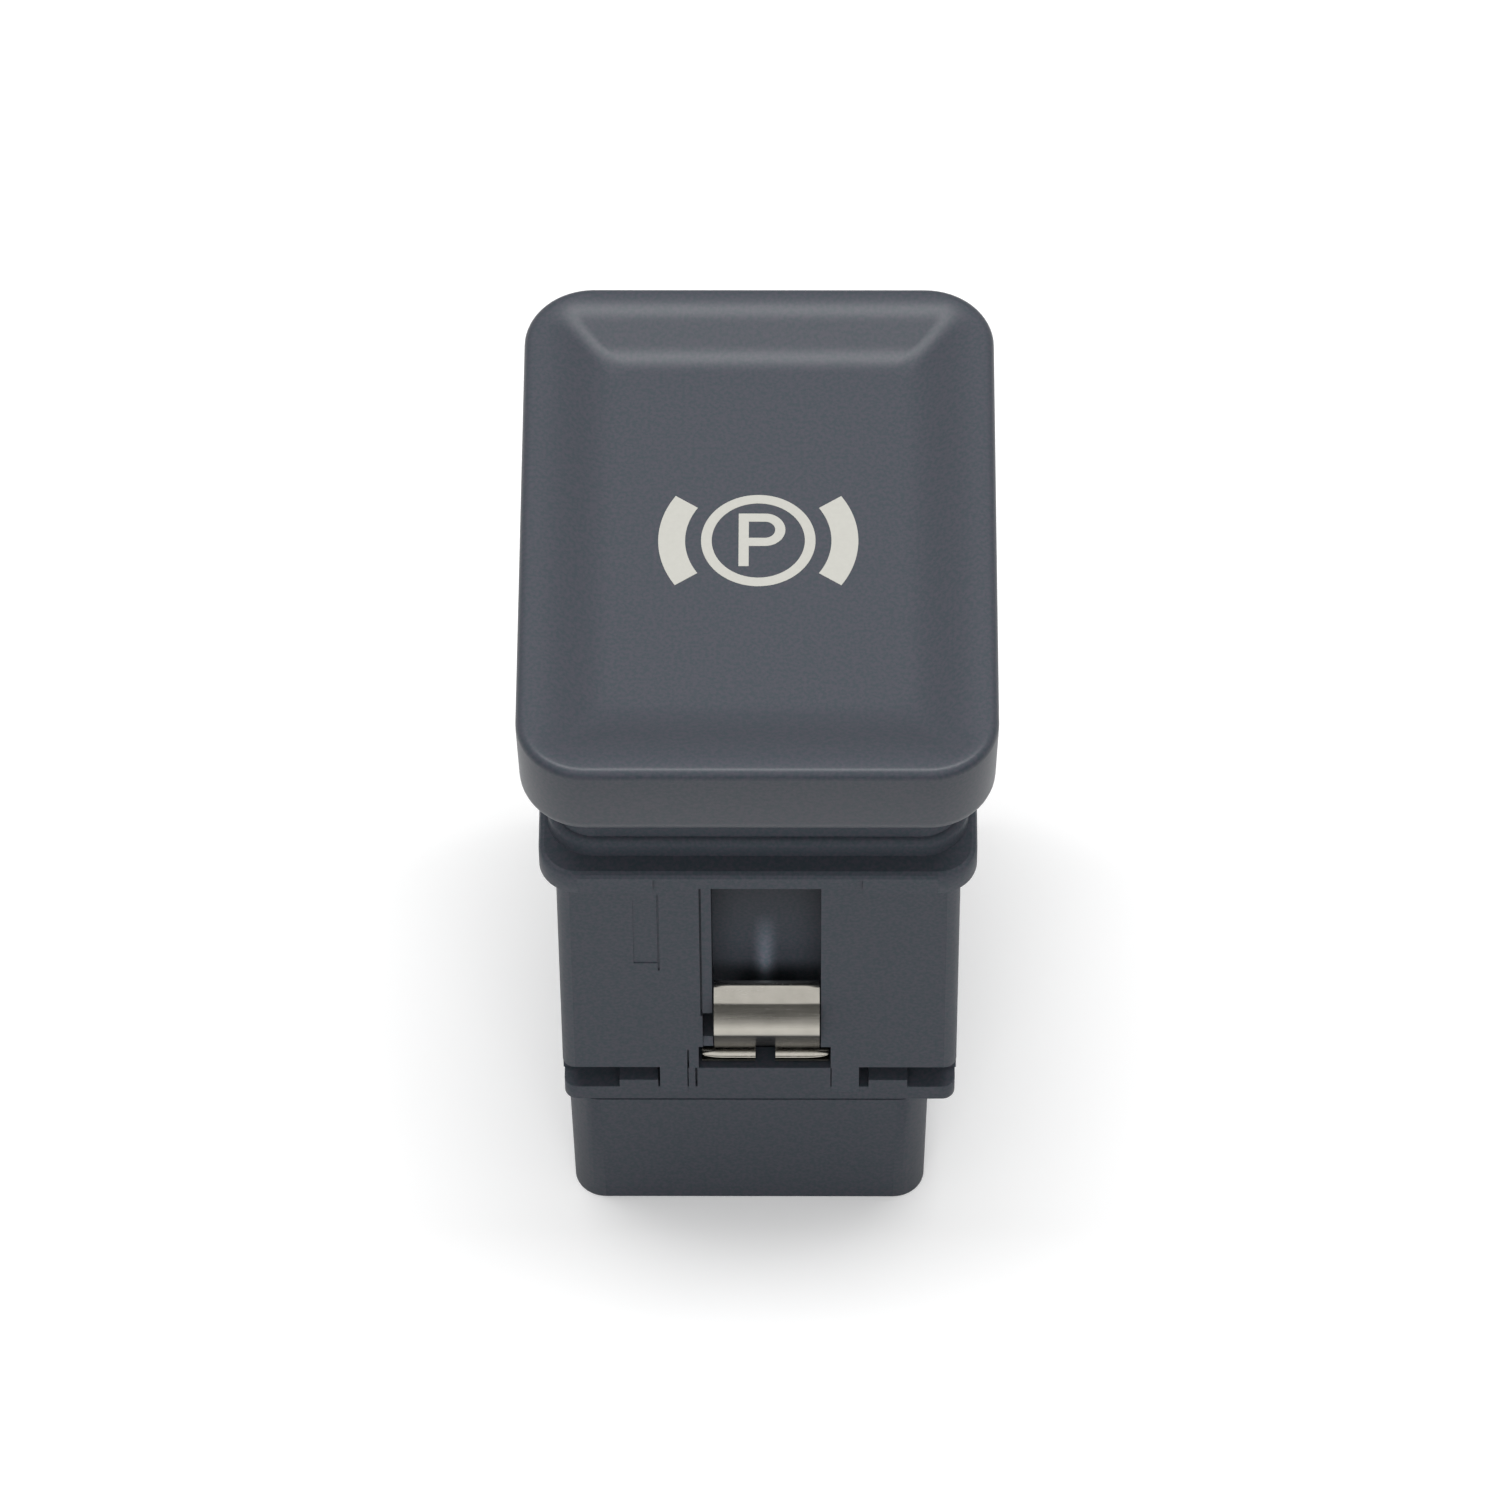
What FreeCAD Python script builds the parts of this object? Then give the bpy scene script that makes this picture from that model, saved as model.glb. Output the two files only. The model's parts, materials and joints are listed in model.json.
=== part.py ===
import FreeCAD, Part

import math
import os

V = FreeCAD.Vector

# Electric parking brake switch, standing on the mouth of its connector shroud.
# Millimetres. +Z is up, the button is on top, and the front is at -Y.
# The origin is at the centre of the button's plan, at the height of the shroud's mouth.

# Heights, counted up from the mouth of the shroud
shroud_height = 11.15
rail_height = 1.5
foot_height = 4.46
body_height = 24.05
flange_thickness = 1.8
cap_gap = 5.55
cap_height = 6.5

# How far the forms of one moulding run into each other, and cuts past a face
weld = 0.2
past = 1.0
small_roll_steps = 2

# Button cap
cap_width = 29.0
cap_length = 37.4
cap_corner_radius = 4.25
cap_wall = 1.75
cap_rim_radius = 0.84
cap_foot_radius = 1.4
cap_draft_deg = 1.6
roll_steps = 3
cap_crest = 1.1
dish_depth = 1.6
dish_run_side = 4.1
dish_run_far = 3.6
dish_run_near = 5.3
dish_corner_radius = 2.9
dish_steps = 5
dish_chords = 5
panel_corner_radius = 0.9
face_thickness = 1.3
button_travel = 1.8
leg_width = 2.6
leg_thickness = 1.1
leg_side_gap = 0.2
leg_end_gap = 1.05
hook_reach = 0.6
hook_height = 0.9
hook_play = 0.1

# Housing
housing_width = 24.8
housing_length = 31.2
housing_wall = 1.5
housing_corner_radius = 0.8
collar_corner_radius = 2.5
flange_side_reach = 0.97
flange_end_reach = 1.94
flange_corner_radius = 2.4
flange_edge_radius = 0.35
flange_recess_width = 12.8
flange_recess_depth = 0.3
flange_recess_drop = 0.5
collar_rise_in_cap = 1.5
deck_thickness = 1.5
deck_drop = 5.05
deck_slot_play = 0.7
deck_slot_length = 7.2
stop_rib_width = 1.2
stop_rib_reach = 1.0
stop_rib_gap = 0.5

# Clip pocket in the front wall, and the same turned half round in the back wall
pocket_width = 7.4
pocket_offset = 0.16
pocket_depth = 3.95
pocket_wall = 1.0
pocket_lintel = 1.0
strip_width = 0.62
strip_set_back = 0.15
strip_foot_rise = 8.0
rib_width = 1.3
rib_offset = 0.37
rib_reach = 0.9
foot_recess_width = 8.3
foot_recess_offset = 0.33
hairline = 0.12
hairline_depth = 0.4

# Shallow mould mark left of the pocket
mark_width = 1.6
mark_height = 6.8
mark_offset = 6.94
mark_rise = 13.7
mark_depth = 0.06
mark_line_below = 0.8
mark_line_above = 0.6

# Notch and corner slots at the foot of the end walls
notch_width = 9.08
notch_line_above = 2.0
corner_slot_height = 2.2
wall_leg_width = 1.73
leg_sink = 0.6

# Connector base
fit_gap = 0.12
skirt_wall = 1.2
skirt_height = 4.5
bridge_rise = 1.8
tongue_rise = 2.11
tongue_left_bar = 0.5
lug_width = 2.45
lug_gap = 0.36
lug_shift = 0.24
lug_rise = 0.75
rail_inset = 0.07
rail_edge_radius = 0.15
snap_width = 4.0
snap_height = 2.2
snap_rise = 1.6
snap_reach = 1.0
snap_spacing = 14.0
snap_play = 0.15
shroud_width = 22.4
shroud_length = 23.0
shroud_offset = -0.7
shroud_draft_deg = 1.0
shroud_corner_radius = 2.0
shroud_wall = 1.2
island_rise = 1.0
island_margin = 1.5
key_size = 1.0
latch_width = 4.8
latch_height = 2.4
latch_rise = 3.0

# Terminal pins
pin_columns = 5
pin_rows = 2
pin_pitch = 3.0
pin_row_spacing = 4.0
pin_size = 0.64
pin_tip_rise = 4.6
pin_tail = 1.2
pin_taper = 0.7
pin_tip_share = 0.45
pin_hole_gap = 0.01
pin_row_set_back = 9.5

# Circuit board and what it carries
board_thickness = 1.6
board_edge_gap = 0.35
board_hole_radius = 0.5
switch_width = 5.8
switch_height = 5.0
switch_side_gap = 0.2
switch_button_radius = 1.3
switch_button_rise = 2.35
switch_button_depth = 2.2
switch_bore_gap = 0.08
switch_edge = 0.3
switch_button_edge = 0.2
led_length = 3.5
led_width = 2.8
led_height = 1.9
led_spacing = 3.8
led_edge = 0.2
led_window_radius = 1.1
led_window_depth = 0.3
chip_length = 3.2
chip_width = 1.6
chip_height = 0.6
chip_pitch = 3.0
chip_edge = 0.12
diode_length = 4.4
diode_width = 2.6
diode_height = 2.2
diode_side_gap = 1.5
diode_end_gap = 1.0
chip_notch_gap = 0.1

# Plunger, light guide and springs
plunger_gap = 0.15
plunger_plate = 1.6
plunger_skirt = 8.3
plunger_wall = 1.2
plunger_corner_radius = 1.4
slot_play = 0.3
pusher_width = 2.0
pusher_length = 3.0
pusher_gap = 0.05
nose_reach = 1.2
nose_height = 1.6
nose_gap = 0.1
guide_pusher_gap = 0.5
guide_head_length = 7.4
guide_head_height = 3.2
guide_taper_height = 4.0
guide_stem_width = 5.0
guide_stem_length = 4.0
guide_play = 0.15
guide_led_gap = 0.4
symbol_y = -0.2
spring_guide_gap = 1.4
spring_radius = 2.25
spring_wire_radius = 0.25
spring_turns = 5
spring_flat_turns = 0.75
spring_steps = 12
spring_wire_sides = 6
spring_peg_radius = 1.6
spring_peg_web = 0.8
spring_peg_length = 2.0
spring_seat_gap = 0.02

# Retaining clip, a bent strip of spring steel
clip_thickness = 0.25
clip_width = 6.6
clip_offset = 0.48
clip_leaf_width = 5.0
clip_corner_radius = 0.4
clip_slit_width = 1.25
clip_slit_height = 1.5
clip_slit_x = 0.38
clip_ear_left = 0.8
clip_ear_right = 0.6
clip_ear_radius = 0.3
clip_leaf_lean_deg = 7.0
clip_leaf_length = 8.55
clip_top_radius = 0.3
clip_lead_deg = 128.0
clip_lead = 0.95
clip_crease_radius = 0.5
clip_crease_deg = 14.0
clip_slope_radius = 4.2
clip_slope_deg = 13.0
clip_hump_radius = 4.0
clip_hump_deg = 15.0
clip_crest_radius = 0.6
clip_crest_deg = 34.0
clip_run = 4.4
clip_foot_radius = 0.4
clip_foot_deg = 104.0
clip_lip = 0.35
clip_anchor_depth = 2.2
clip_anchor_gap = 0.2
clip_anchor_sink = 0.4

# Levels and planes that several pieces share
rail_bottom = shroud_height
rail_top = rail_bottom + rail_height
shoulder_z = rail_top + foot_height
flange_bottom = rail_top + body_height
flange_top = flange_bottom + flange_thickness
cap_bottom = flange_top + cap_gap
cap_top = cap_bottom + cap_height
cap_underside = cap_top - dish_depth - face_thickness
collar_top = cap_bottom + collar_rise_in_cap
deck_bottom = flange_bottom - deck_drop - deck_thickness
deck_top = deck_bottom + deck_thickness
front = -housing_length / 2
side = housing_width / 2
inner_side = side - housing_wall
inner_front = front + housing_wall
pocket_back = front + pocket_depth
tongue_top = rail_top + tongue_rise
board_bottom = rail_top + skirt_height
board_top = board_bottom + board_thickness
skirt_side = inner_side - fit_gap
skirt_front = inner_front + fit_gap
plunger_side = inner_side - plunger_gap
plunger_end = -inner_front - plunger_gap
plate_bottom = cap_underside - plunger_plate
switch_top = board_top + switch_height
switch_button_top = switch_top + switch_button_rise
pusher_bottom = switch_button_top + pusher_gap
pocket_top = flange_bottom - pocket_lintel
clip_anchor_y = front + clip_anchor_depth
bridge_top = rail_top + bridge_rise
board_notch_y = pocket_back + pocket_wall + board_edge_gap
clip_anchor_z = bridge_top - clip_anchor_sink
pocket_left = pocket_offset - pocket_width / 2
pocket_half = pocket_offset + pocket_width / 2 + pocket_wall

# Places in plan that follow from what stands beside them
switch_x = inner_side - switch_side_gap - switch_width / 2
deck_slot_width = 2 * (switch_x + pusher_width / 2 + deck_slot_play)
guide_head_width = 2 * (switch_x - pusher_width / 2 - guide_pusher_gap)
leg_x = plunger_side - plunger_wall - leg_side_gap - hook_reach - leg_thickness / 2
leg_y = plunger_end - plunger_wall - leg_end_gap - leg_width / 2
spring_y = guide_head_length / 2 - symbol_y + spring_guide_gap + spring_radius + spring_wire_radius
stop_rib_y = snap_spacing / 2 + snap_width / 2 + stop_rib_gap + stop_rib_width / 2
corner_slot_inner = notch_width / 2 + wall_leg_width
lug_inner = corner_slot_inner + lug_gap
pin_row_centre = front + pin_row_set_back
diode_x = inner_side - diode_side_gap - diode_width / 2
diode_y = inner_front + diode_end_gap + diode_length / 2
resistor_y = -board_notch_y - chip_notch_gap - chip_length / 2


def block(x, y, z):
    """A box from three (low, high) pairs."""
    return Part.makeBox(x[1] - x[0], y[1] - y[0], z[1] - z[0], V(x[0], y[0], z[0]))


def centred(width, length, z, at=(0.0, 0.0)):
    """A box of a width and length, centred on a point in plan."""
    x = (at[0] - width / 2, at[0] + width / 2)
    y = (at[1] - length / 2, at[1] + length / 2)
    return block(x, y, z)


def corner_centres(x, y, r):
    """The centres of a rectangle's round corners, each with the direction that its arc starts in."""
    return [(x[1] - r, y[0] + r, -90), (x[1] - r, y[1] - r, 0),
            (x[0] + r, y[1] - r, 90), (x[0] + r, y[0] + r, 180)]


def chord_outline(x, y, radius, z, chords):
    """A rectangle in plan whose round corners are made of straight chords, as a wire."""
    points = []
    for cx, cy, turn in corner_centres(x, y, radius):
        for step in range(chords + 1):
            a = math.radians(turn + 90 * step / chords)
            points.append(V(cx + radius * math.cos(a), cy + radius * math.sin(a), z))
    return Part.makePolygon(points + points[:1])


def round_outline(x, y, radius, z):
    """A rectangle in plan with round corners, as a wire at one height."""
    r = min(radius, 0.49 * (x[1] - x[0]), 0.49 * (y[1] - y[0]))
    edges = []
    ends = []
    for cx, cy, turn in corner_centres(x, y, r):
        points = []
        for step in (0, 45, 90):
            a = math.radians(turn + step)
            points.append(V(cx + r * math.cos(a), cy + r * math.sin(a), z))
        ends.append(points)
    for i in range(4):
        edges.append(Part.Arc(*ends[i]).toShape())
        edges.append(Part.makeLine(ends[i][2], ends[(i + 1) % 4][0]))
    return Part.Wire(edges)


def round_block(x, y, z, radius):
    """A block with round upright corners."""
    face = Part.Face(round_outline(x, y, radius, z[0]))
    return face.extrude(V(0, 0, z[1] - z[0]))


def round_centred(width, length, z, radius, at=(0.0, 0.0)):
    """A block with round upright corners, centred on a point in plan."""
    x = (at[0] - width / 2, at[0] + width / 2)
    y = (at[1] - length / 2, at[1] + length / 2)
    return round_block(x, y, z, radius)


def roll(radius, steps):
    """How far in and how far up a rolled edge is, from its start on the flat to the side."""
    turns = [math.pi / 2 * i / steps for i in range(steps + 1)]
    return [(radius * (1 - math.sin(a)), radius * (1 - math.cos(a))) for a in turns]


def rolled_block(width, length, z, corner, foot=None, top=None, draft=0.0):
    """A block centred in plan with round corners, a rolled lower or upper edge, and a draft."""
    rings = [(draft + inset, z[0] + rise) for inset, rise in (roll(*foot) if foot else [(0, 0)])]
    rings += [(inset, z[1] - rise) for inset, rise in reversed(roll(*top) if top else [(0, 0)])]
    outlines = []
    for inset, height in rings:
        x = width / 2 - inset
        y = length / 2 - inset
        outlines.append(round_outline((-x, x), (-y, y), corner - inset, height))
    return Part.makeLoft(outlines, True, True)


def post(x, y, z, radius):
    """An upright cylinder between two heights."""
    return Part.makeCylinder(radius, z[1] - z[0], V(x, y, z[0]))


def eight_sided(x, y, z, radius):
    """A small hole's form with eight flats, between two heights."""
    corners = []
    for step in range(9):
        a = math.pi * (step + 0.5) / 4
        corners.append(V(x + radius * math.cos(a), y + radius * math.sin(a), z[0]))
    return Part.Face(Part.makePolygon(corners)).extrude(V(0, 0, z[1] - z[0]))


def prism_x(points, x):
    """A solid with an outline of (y, z) points, carried along X."""
    corners = [V(x[0], y, z) for y, z in points]
    face = Part.Face(Part.makePolygon(corners + corners[:1]))
    return face.extrude(V(x[1] - x[0], 0, 0))


def prism_y(points, y):
    """A solid with an outline of (x, z) points, carried along Y."""
    corners = [V(x, y[0], z) for x, z in points]
    face = Part.Face(Part.makePolygon(corners + corners[:1]))
    return face.extrude(V(0, y[1] - y[0], 0))


def edges_at(shape, height, axis="z"):
    """The edges of a shape that lie at one height, or in one plane across an axis."""
    found = []
    for edge in shape.Edges:
        box = edge.BoundBox
        low = {"x": box.XMin, "y": box.YMin, "z": box.ZMin}[axis]
        high = {"x": box.XMax, "y": box.YMax, "z": box.ZMax}[axis]
        if abs(low - height) < 1e-4 and abs(high - height) < 1e-4:
            found.append(edge)
    return found


def half_turn(shape):
    """A copy turned half round the vertical axis, for the back wall."""
    copy = shape.copy()
    copy.rotate(V(0, 0, 0), V(0, 0, 1), 180)
    return copy


def both_ends(shape):
    """A feature of the front wall together with its twin in the back wall."""
    return [shape, half_turn(shape)]


def dish_section(share):
    """One outline of the button's dished face, from the crest (0) in to the panel (1)."""
    depth_share = (1 - math.cos(math.pi * share)) / 2
    x = cap_width / 2 - cap_crest - share * dish_run_side
    low = -cap_length / 2 + cap_crest + share * dish_run_near
    high = cap_length / 2 - cap_crest - share * dish_run_far
    radius = dish_corner_radius + share * (panel_corner_radius - dish_corner_radius)
    return chord_outline((-x, x), (low, high), radius, cap_top - depth_share * dish_depth, dish_chords)


def dish():
    """The space above the dished face, with a soft roll at its crest and at its panel."""
    outlines = [dish_section(step / dish_steps) for step in range(dish_steps + 1)]
    return Part.makeLoft(outlines, True, True)


def cap_leg(side_sign, end_sign):
    """A leg under the cap with a hook that catches under the plunger's plate."""
    x = side_sign * leg_x
    low = plate_bottom - hook_height - hook_play
    leg = centred(leg_thickness, leg_width, (low, cap_underside + weld), (x, end_sign * leg_y))
    root = x + side_sign * leg_thickness / 2
    tip = root + side_sign * hook_reach
    hook = prism_y([(root, plate_bottom - hook_play), (tip, plate_bottom - hook_play), (root, low)],
                   (end_sign * leg_y - leg_width / 2, end_sign * leg_y + leg_width / 2))
    return leg.fuse(hook)


def button_cap():
    """The moulded button: dished face, round rim, skirt that curves under, and four snap legs."""
    draft = (cap_height - cap_rim_radius - cap_foot_radius) * math.tan(math.radians(cap_draft_deg))
    body = rolled_block(cap_width, cap_length, (cap_bottom, cap_top), cap_corner_radius,
                        (cap_foot_radius, roll_steps), (cap_rim_radius, roll_steps), draft)
    body = body.cut(dish())
    hollow = round_centred(cap_width - 2 * cap_wall, cap_length - 2 * cap_wall,
                           (cap_bottom - past, cap_underside), cap_corner_radius - cap_wall)
    body = body.cut(hollow)
    legs = [cap_leg(s, e) for s in (-1, 1) for e in (-1, 1)]
    return body.fuse(legs).removeSplitter()


def cross_peg(y, z):
    """A moulded peg of two crossing webs, on the middle line."""
    along = centred(2 * spring_peg_radius, spring_peg_web, z, (0, y))
    across = centred(spring_peg_web, 2 * spring_peg_radius, z, (0, y))
    return along.fuse(across)


def spring_peg(end_sign):
    """A cross-shaped peg under the plunger's plate that centres a return spring."""
    return cross_peg(end_sign * spring_y, (plate_bottom - spring_peg_length, plate_bottom + weld))


def pusher(side_sign):
    """A long leg that reaches a switch, with a nose that stops under the deck."""
    x = side_sign * switch_x
    leg = centred(pusher_width, pusher_length, (pusher_bottom, plate_bottom), (x, 0))
    root = x + side_sign * pusher_width / 2
    top = deck_bottom - nose_gap
    nose = prism_y([(root, top), (root + side_sign * nose_reach, top), (root, top - nose_height)],
                   (-pusher_length / 2, pusher_length / 2))
    return leg.fuse(nose)


def plunger():
    """The carrier under the cap: plate, skirt that slides in the collar, pegs and pushers."""
    z = (plate_bottom, cap_underside)
    body = round_centred(2 * plunger_side, 2 * plunger_end,
                         (cap_underside - plunger_skirt, cap_underside), plunger_corner_radius)
    room = round_centred(2 * (plunger_side - plunger_wall), 2 * (plunger_end - plunger_wall),
                         (cap_underside - plunger_skirt - past, plate_bottom), plunger_corner_radius / 2)
    body = body.cut(room)
    opening = centred(guide_head_width + 2 * guide_play, guide_head_length + 2 * guide_play,
                      z, (0, symbol_y))
    slots = []
    for s in (-1, 1):
        for e in (-1, 1):
            width = leg_thickness + hook_reach + slot_play
            x = s * (leg_x + hook_reach / 2)
            slots.append(centred(width, leg_width + slot_play, z, (x, e * leg_y)))
    body = body.cut([opening] + slots)
    pegs = [spring_peg(e) for e in (-1, 1)]
    pushers = [pusher(s) for s in (-1, 1)]
    return body.fuse(pegs + pushers).removeSplitter()


def light_guide():
    """The clear guide that carries light from the lamps up to the symbol."""
    top = cap_underside
    head_low = top - guide_head_height
    head = centred(guide_head_width, guide_head_length, (head_low, top), (0, symbol_y))
    neck_z = head_low - guide_taper_height
    stem_half, head_half = guide_stem_width / 2, guide_head_width / 2
    taper = Part.makeWedge(-stem_half, neck_z, -guide_stem_length / 2,
                           symbol_y - guide_head_length / 2, -head_half,
                           stem_half, head_low, guide_stem_length / 2,
                           symbol_y + guide_head_length / 2, head_half)
    taper.rotate(V(0, 0, 0), V(1, 0, 0), 90)
    taper = taper.mirror(V(0, 0, 0), V(0, 1, 0))
    stem_low = board_top + led_height + button_travel + guide_led_gap
    stem = centred(guide_stem_width, guide_stem_length, (stem_low, neck_z))
    return head.fuse([taper, stem]).removeSplitter()


def flange():
    """The rim that rests on the panel, with a shallow recess at the middle of each end."""
    z = (flange_bottom, flange_top)
    width = housing_width + 2 * flange_side_reach
    length = housing_length + 2 * flange_end_reach
    body = rolled_block(width, length, z, flange_corner_radius, top=(flange_edge_radius, small_roll_steps))
    low = -length / 2
    recess = block((-flange_recess_width / 2, flange_recess_width / 2),
                   (low - past, low + flange_recess_depth),
                   (flange_bottom - past, flange_top - flange_recess_drop))
    return body.cut(both_ends(recess))


def pocket_box():
    """The inner walls that close the clip pocket off from the works."""
    return block((-pocket_half, pocket_half), (front, pocket_back + pocket_wall),
                 (tongue_top + fit_gap, flange_bottom))


def pocket_space():
    """The hollow of the clip pocket, with its side strip and its back rib left standing."""
    space = block((pocket_left, pocket_left + pocket_width), (front - past, pocket_back),
                  (rail_bottom, pocket_top))
    strip = block((pocket_left, pocket_left + strip_width), (front + strip_set_back, pocket_back + past),
                  (rail_top + strip_foot_rise, pocket_top + past))
    rib = block((rib_offset - rib_width / 2, rib_offset + rib_width / 2),
                (pocket_back - rib_reach, pocket_back + past), (shoulder_z, pocket_top + past))
    return space.cut([strip, rib])


def end_wall_cuts():
    """Cuts in the foot of the front wall: notch, foot recess, corner slots, hairlines and mark."""
    depth = (front - past, inner_front)
    notch = block((-notch_width / 2, notch_width / 2), depth, (rail_bottom, tongue_top))
    recess = block((foot_recess_offset - foot_recess_width / 2, foot_recess_offset + foot_recess_width / 2),
                   depth, (rail_bottom, shoulder_z))
    cuts = [notch, recess]
    for s in (-1, 1):
        x = sorted((s * corner_slot_inner, s * (side + past)))
        cuts.append(block(x, depth, (rail_bottom, rail_top + corner_slot_height)))
    cuts.append(block((pocket_left - hairline, pocket_left), (front - past, front + hairline_depth),
                      (rail_top + strip_foot_rise - hairline, pocket_top)))
    left = -notch_width / 2
    cuts.append(block((left, left + hairline), (front - past, front + hairline_depth),
                      (rail_top, tongue_top + notch_line_above)))
    x = -mark_offset
    cuts.append(block((x - mark_width / 2, x + mark_width / 2), (front - past, front + mark_depth),
                      (rail_top + mark_rise, rail_top + mark_rise + mark_height)))
    cuts.append(block((x + mark_width / 2 - hairline, x + mark_width / 2),
                      (front - past, front + 2 * mark_depth),
                      (rail_top + mark_rise - mark_line_below,
                       rail_top + mark_rise + mark_height + mark_line_above)))
    return cuts


def wall_legs():
    """The two short legs of the front wall that reach down beside the notch into the base."""
    legs = []
    for s in (-1, 1):
        x = sorted((s * notch_width / 2, s * corner_slot_inner))
        legs.append(block(x, (front, inner_front), (rail_top - leg_sink, rail_top)))
    return legs


def snap_window(side_sign, y):
    """A window in a side wall that a hook of the base snaps into."""
    x = sorted((side_sign * (inner_side - past), side_sign * (side + past)))
    return block(x, (y - snap_width / 2, y + snap_width / 2),
                 (rail_top + snap_rise, rail_top + snap_rise + snap_height))


def stop_rib(side_sign, y):
    """A rib on a side wall that holds the board down on the skirt of the base."""
    x = sorted((side_sign * (inner_side - stop_rib_reach), side_sign * (inner_side + weld)))
    return block(x, (y - stop_rib_width / 2, y + stop_rib_width / 2), (board_top, deck_bottom))


def housing():
    """The moulded housing: four walls, collar, panel flange, inner deck and two clip pockets."""
    shell = round_centred(housing_width, housing_length, (rail_top, flange_bottom), housing_corner_radius)
    collar = round_centred(housing_width, housing_length, (flange_bottom, collar_top), collar_corner_radius)
    body = shell.fuse([flange(), collar])
    room = round_centred(2 * inner_side, -2 * inner_front, (rail_bottom, collar_top + past),
                         collar_corner_radius - housing_wall)
    body = body.cut(room)
    deck = round_centred(2 * inner_side, -2 * inner_front, (deck_bottom, deck_top),
                         collar_corner_radius - housing_wall)
    deck = deck.cut(centred(deck_slot_width, deck_slot_length, (deck_bottom, deck_top)))
    pegs = [cross_peg(e * spring_y, (deck_top - weld, deck_top + spring_peg_length)) for e in (-1, 1)]
    ribs = [stop_rib(s, e * stop_rib_y) for s in (-1, 1) for e in (-1, 1)]
    body = body.fuse([deck] + pegs + ribs + both_ends(pocket_box()) + sum(
        (both_ends(leg) for leg in wall_legs()), []))
    cuts = both_ends(pocket_space())
    for cut in end_wall_cuts():
        cuts += both_ends(cut)
    cuts += [snap_window(s, e * snap_spacing / 2) for s in (-1, 1) for e in (-1, 1)]
    return body.cut(cuts).removeSplitter()


def shroud():
    """The drafted connector shroud with its round corners, flush with the front wall."""
    taper = shroud_height * math.tan(math.radians(shroud_draft_deg))

    def outline(grow, z):
        half = shroud_width / 2 + grow
        x = (shroud_offset - half, shroud_offset + half)
        return round_outline(x, (front, front + shroud_length + grow), shroud_corner_radius, z)

    return Part.makeLoft([outline(0, 0), outline(taper, rail_bottom)], True, True)


def shroud_cavity():
    """The socket that the plug enters, from the mouth up to the base plate."""
    x = (shroud_offset - shroud_width / 2 + shroud_wall, shroud_offset + shroud_width / 2 - shroud_wall)
    y = (front + shroud_wall, front + shroud_length - shroud_wall)
    cavity = round_block(x, y, (-past, rail_bottom), shroud_corner_radius - shroud_wall)
    key = block((x[0] - past, x[0] + key_size),
                (pin_row_centre - key_size / 2, pin_row_centre + key_size / 2), (0, rail_bottom))
    return cavity.cut(key)


def pin_places():
    """The plan position of each pin, row by row."""
    places = []
    for row in range(pin_rows):
        for column in range(pin_columns):
            x = shroud_offset + (column - (pin_columns - 1) / 2) * pin_pitch
            y = pin_row_centre + (row - (pin_rows - 1) / 2) * pin_row_spacing
            places.append((x, y))
    return places


def pin_holes(z, gap):
    """Square holes at every pin, with a gap on each side."""
    size = pin_size + 2 * gap
    return [centred(size, size, z, place) for place in pin_places()]


def skirt():
    """The wall that stands on the base plate inside the housing, open at the clip pockets."""
    z = (rail_top, board_bottom)
    outer = round_centred(2 * skirt_side, -2 * skirt_front, z, collar_corner_radius - housing_wall)
    inner = centred(2 * (skirt_side - skirt_wall), -2 * (skirt_front + skirt_wall), z)
    half = pocket_half + fit_gap
    gap = block((-half, half), (front, pocket_back + pocket_wall + fit_gap), z)
    return outer.cut([inner] + both_ends(gap))


def clip_seat():
    """The bridge under a clip, with the slot that its leaf stands in."""
    bridge = block((-pocket_half, pocket_half), (skirt_front, pocket_back + pocket_wall),
                   (rail_top, bridge_top))
    slot_half = clip_leaf_width / 2 + clip_anchor_gap
    y = clip_anchor_y
    reach = clip_thickness / 2 + clip_anchor_gap
    slot = block((clip_offset - slot_half, clip_offset + slot_half), (y - reach, y + reach),
                 (clip_anchor_z - clip_anchor_gap, bridge_top))
    return bridge.cut(slot)


def tongue():
    """The tongue of the base that fills the notch, with a hairline beside its left bar."""
    half = notch_width / 2 - fit_gap / 2
    body = block((-half, half), (front, skirt_front), (rail_top - weld, tongue_top))
    bar = -half + tongue_left_bar
    line = block((bar - hairline / 2, bar + hairline / 2), (front - past, front + hairline_depth),
                 (rail_top - leg_sink, tongue_top))
    return body.cut(line)


def corner_lug(side_sign):
    """A lug that stands on the rail in a corner slot of the front wall."""
    inner = side_sign * lug_inner + lug_shift
    x = sorted((inner, inner + side_sign * lug_width))
    return block(x, (front, skirt_front + weld), (rail_top - weld, rail_top + lug_rise))


def snap_hook(side_sign, y):
    """A wedge on the skirt that snaps into a window of the housing."""
    root = side_sign * (skirt_side - weld)
    tip = side_sign * (skirt_side + snap_reach)
    low = rail_top + snap_rise + snap_play
    high = rail_top + snap_rise + snap_height - snap_play
    half = snap_width / 2 - snap_play
    return prism_y([(root, low), (tip, low), (root, high)], (y - half, y + half))


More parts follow.
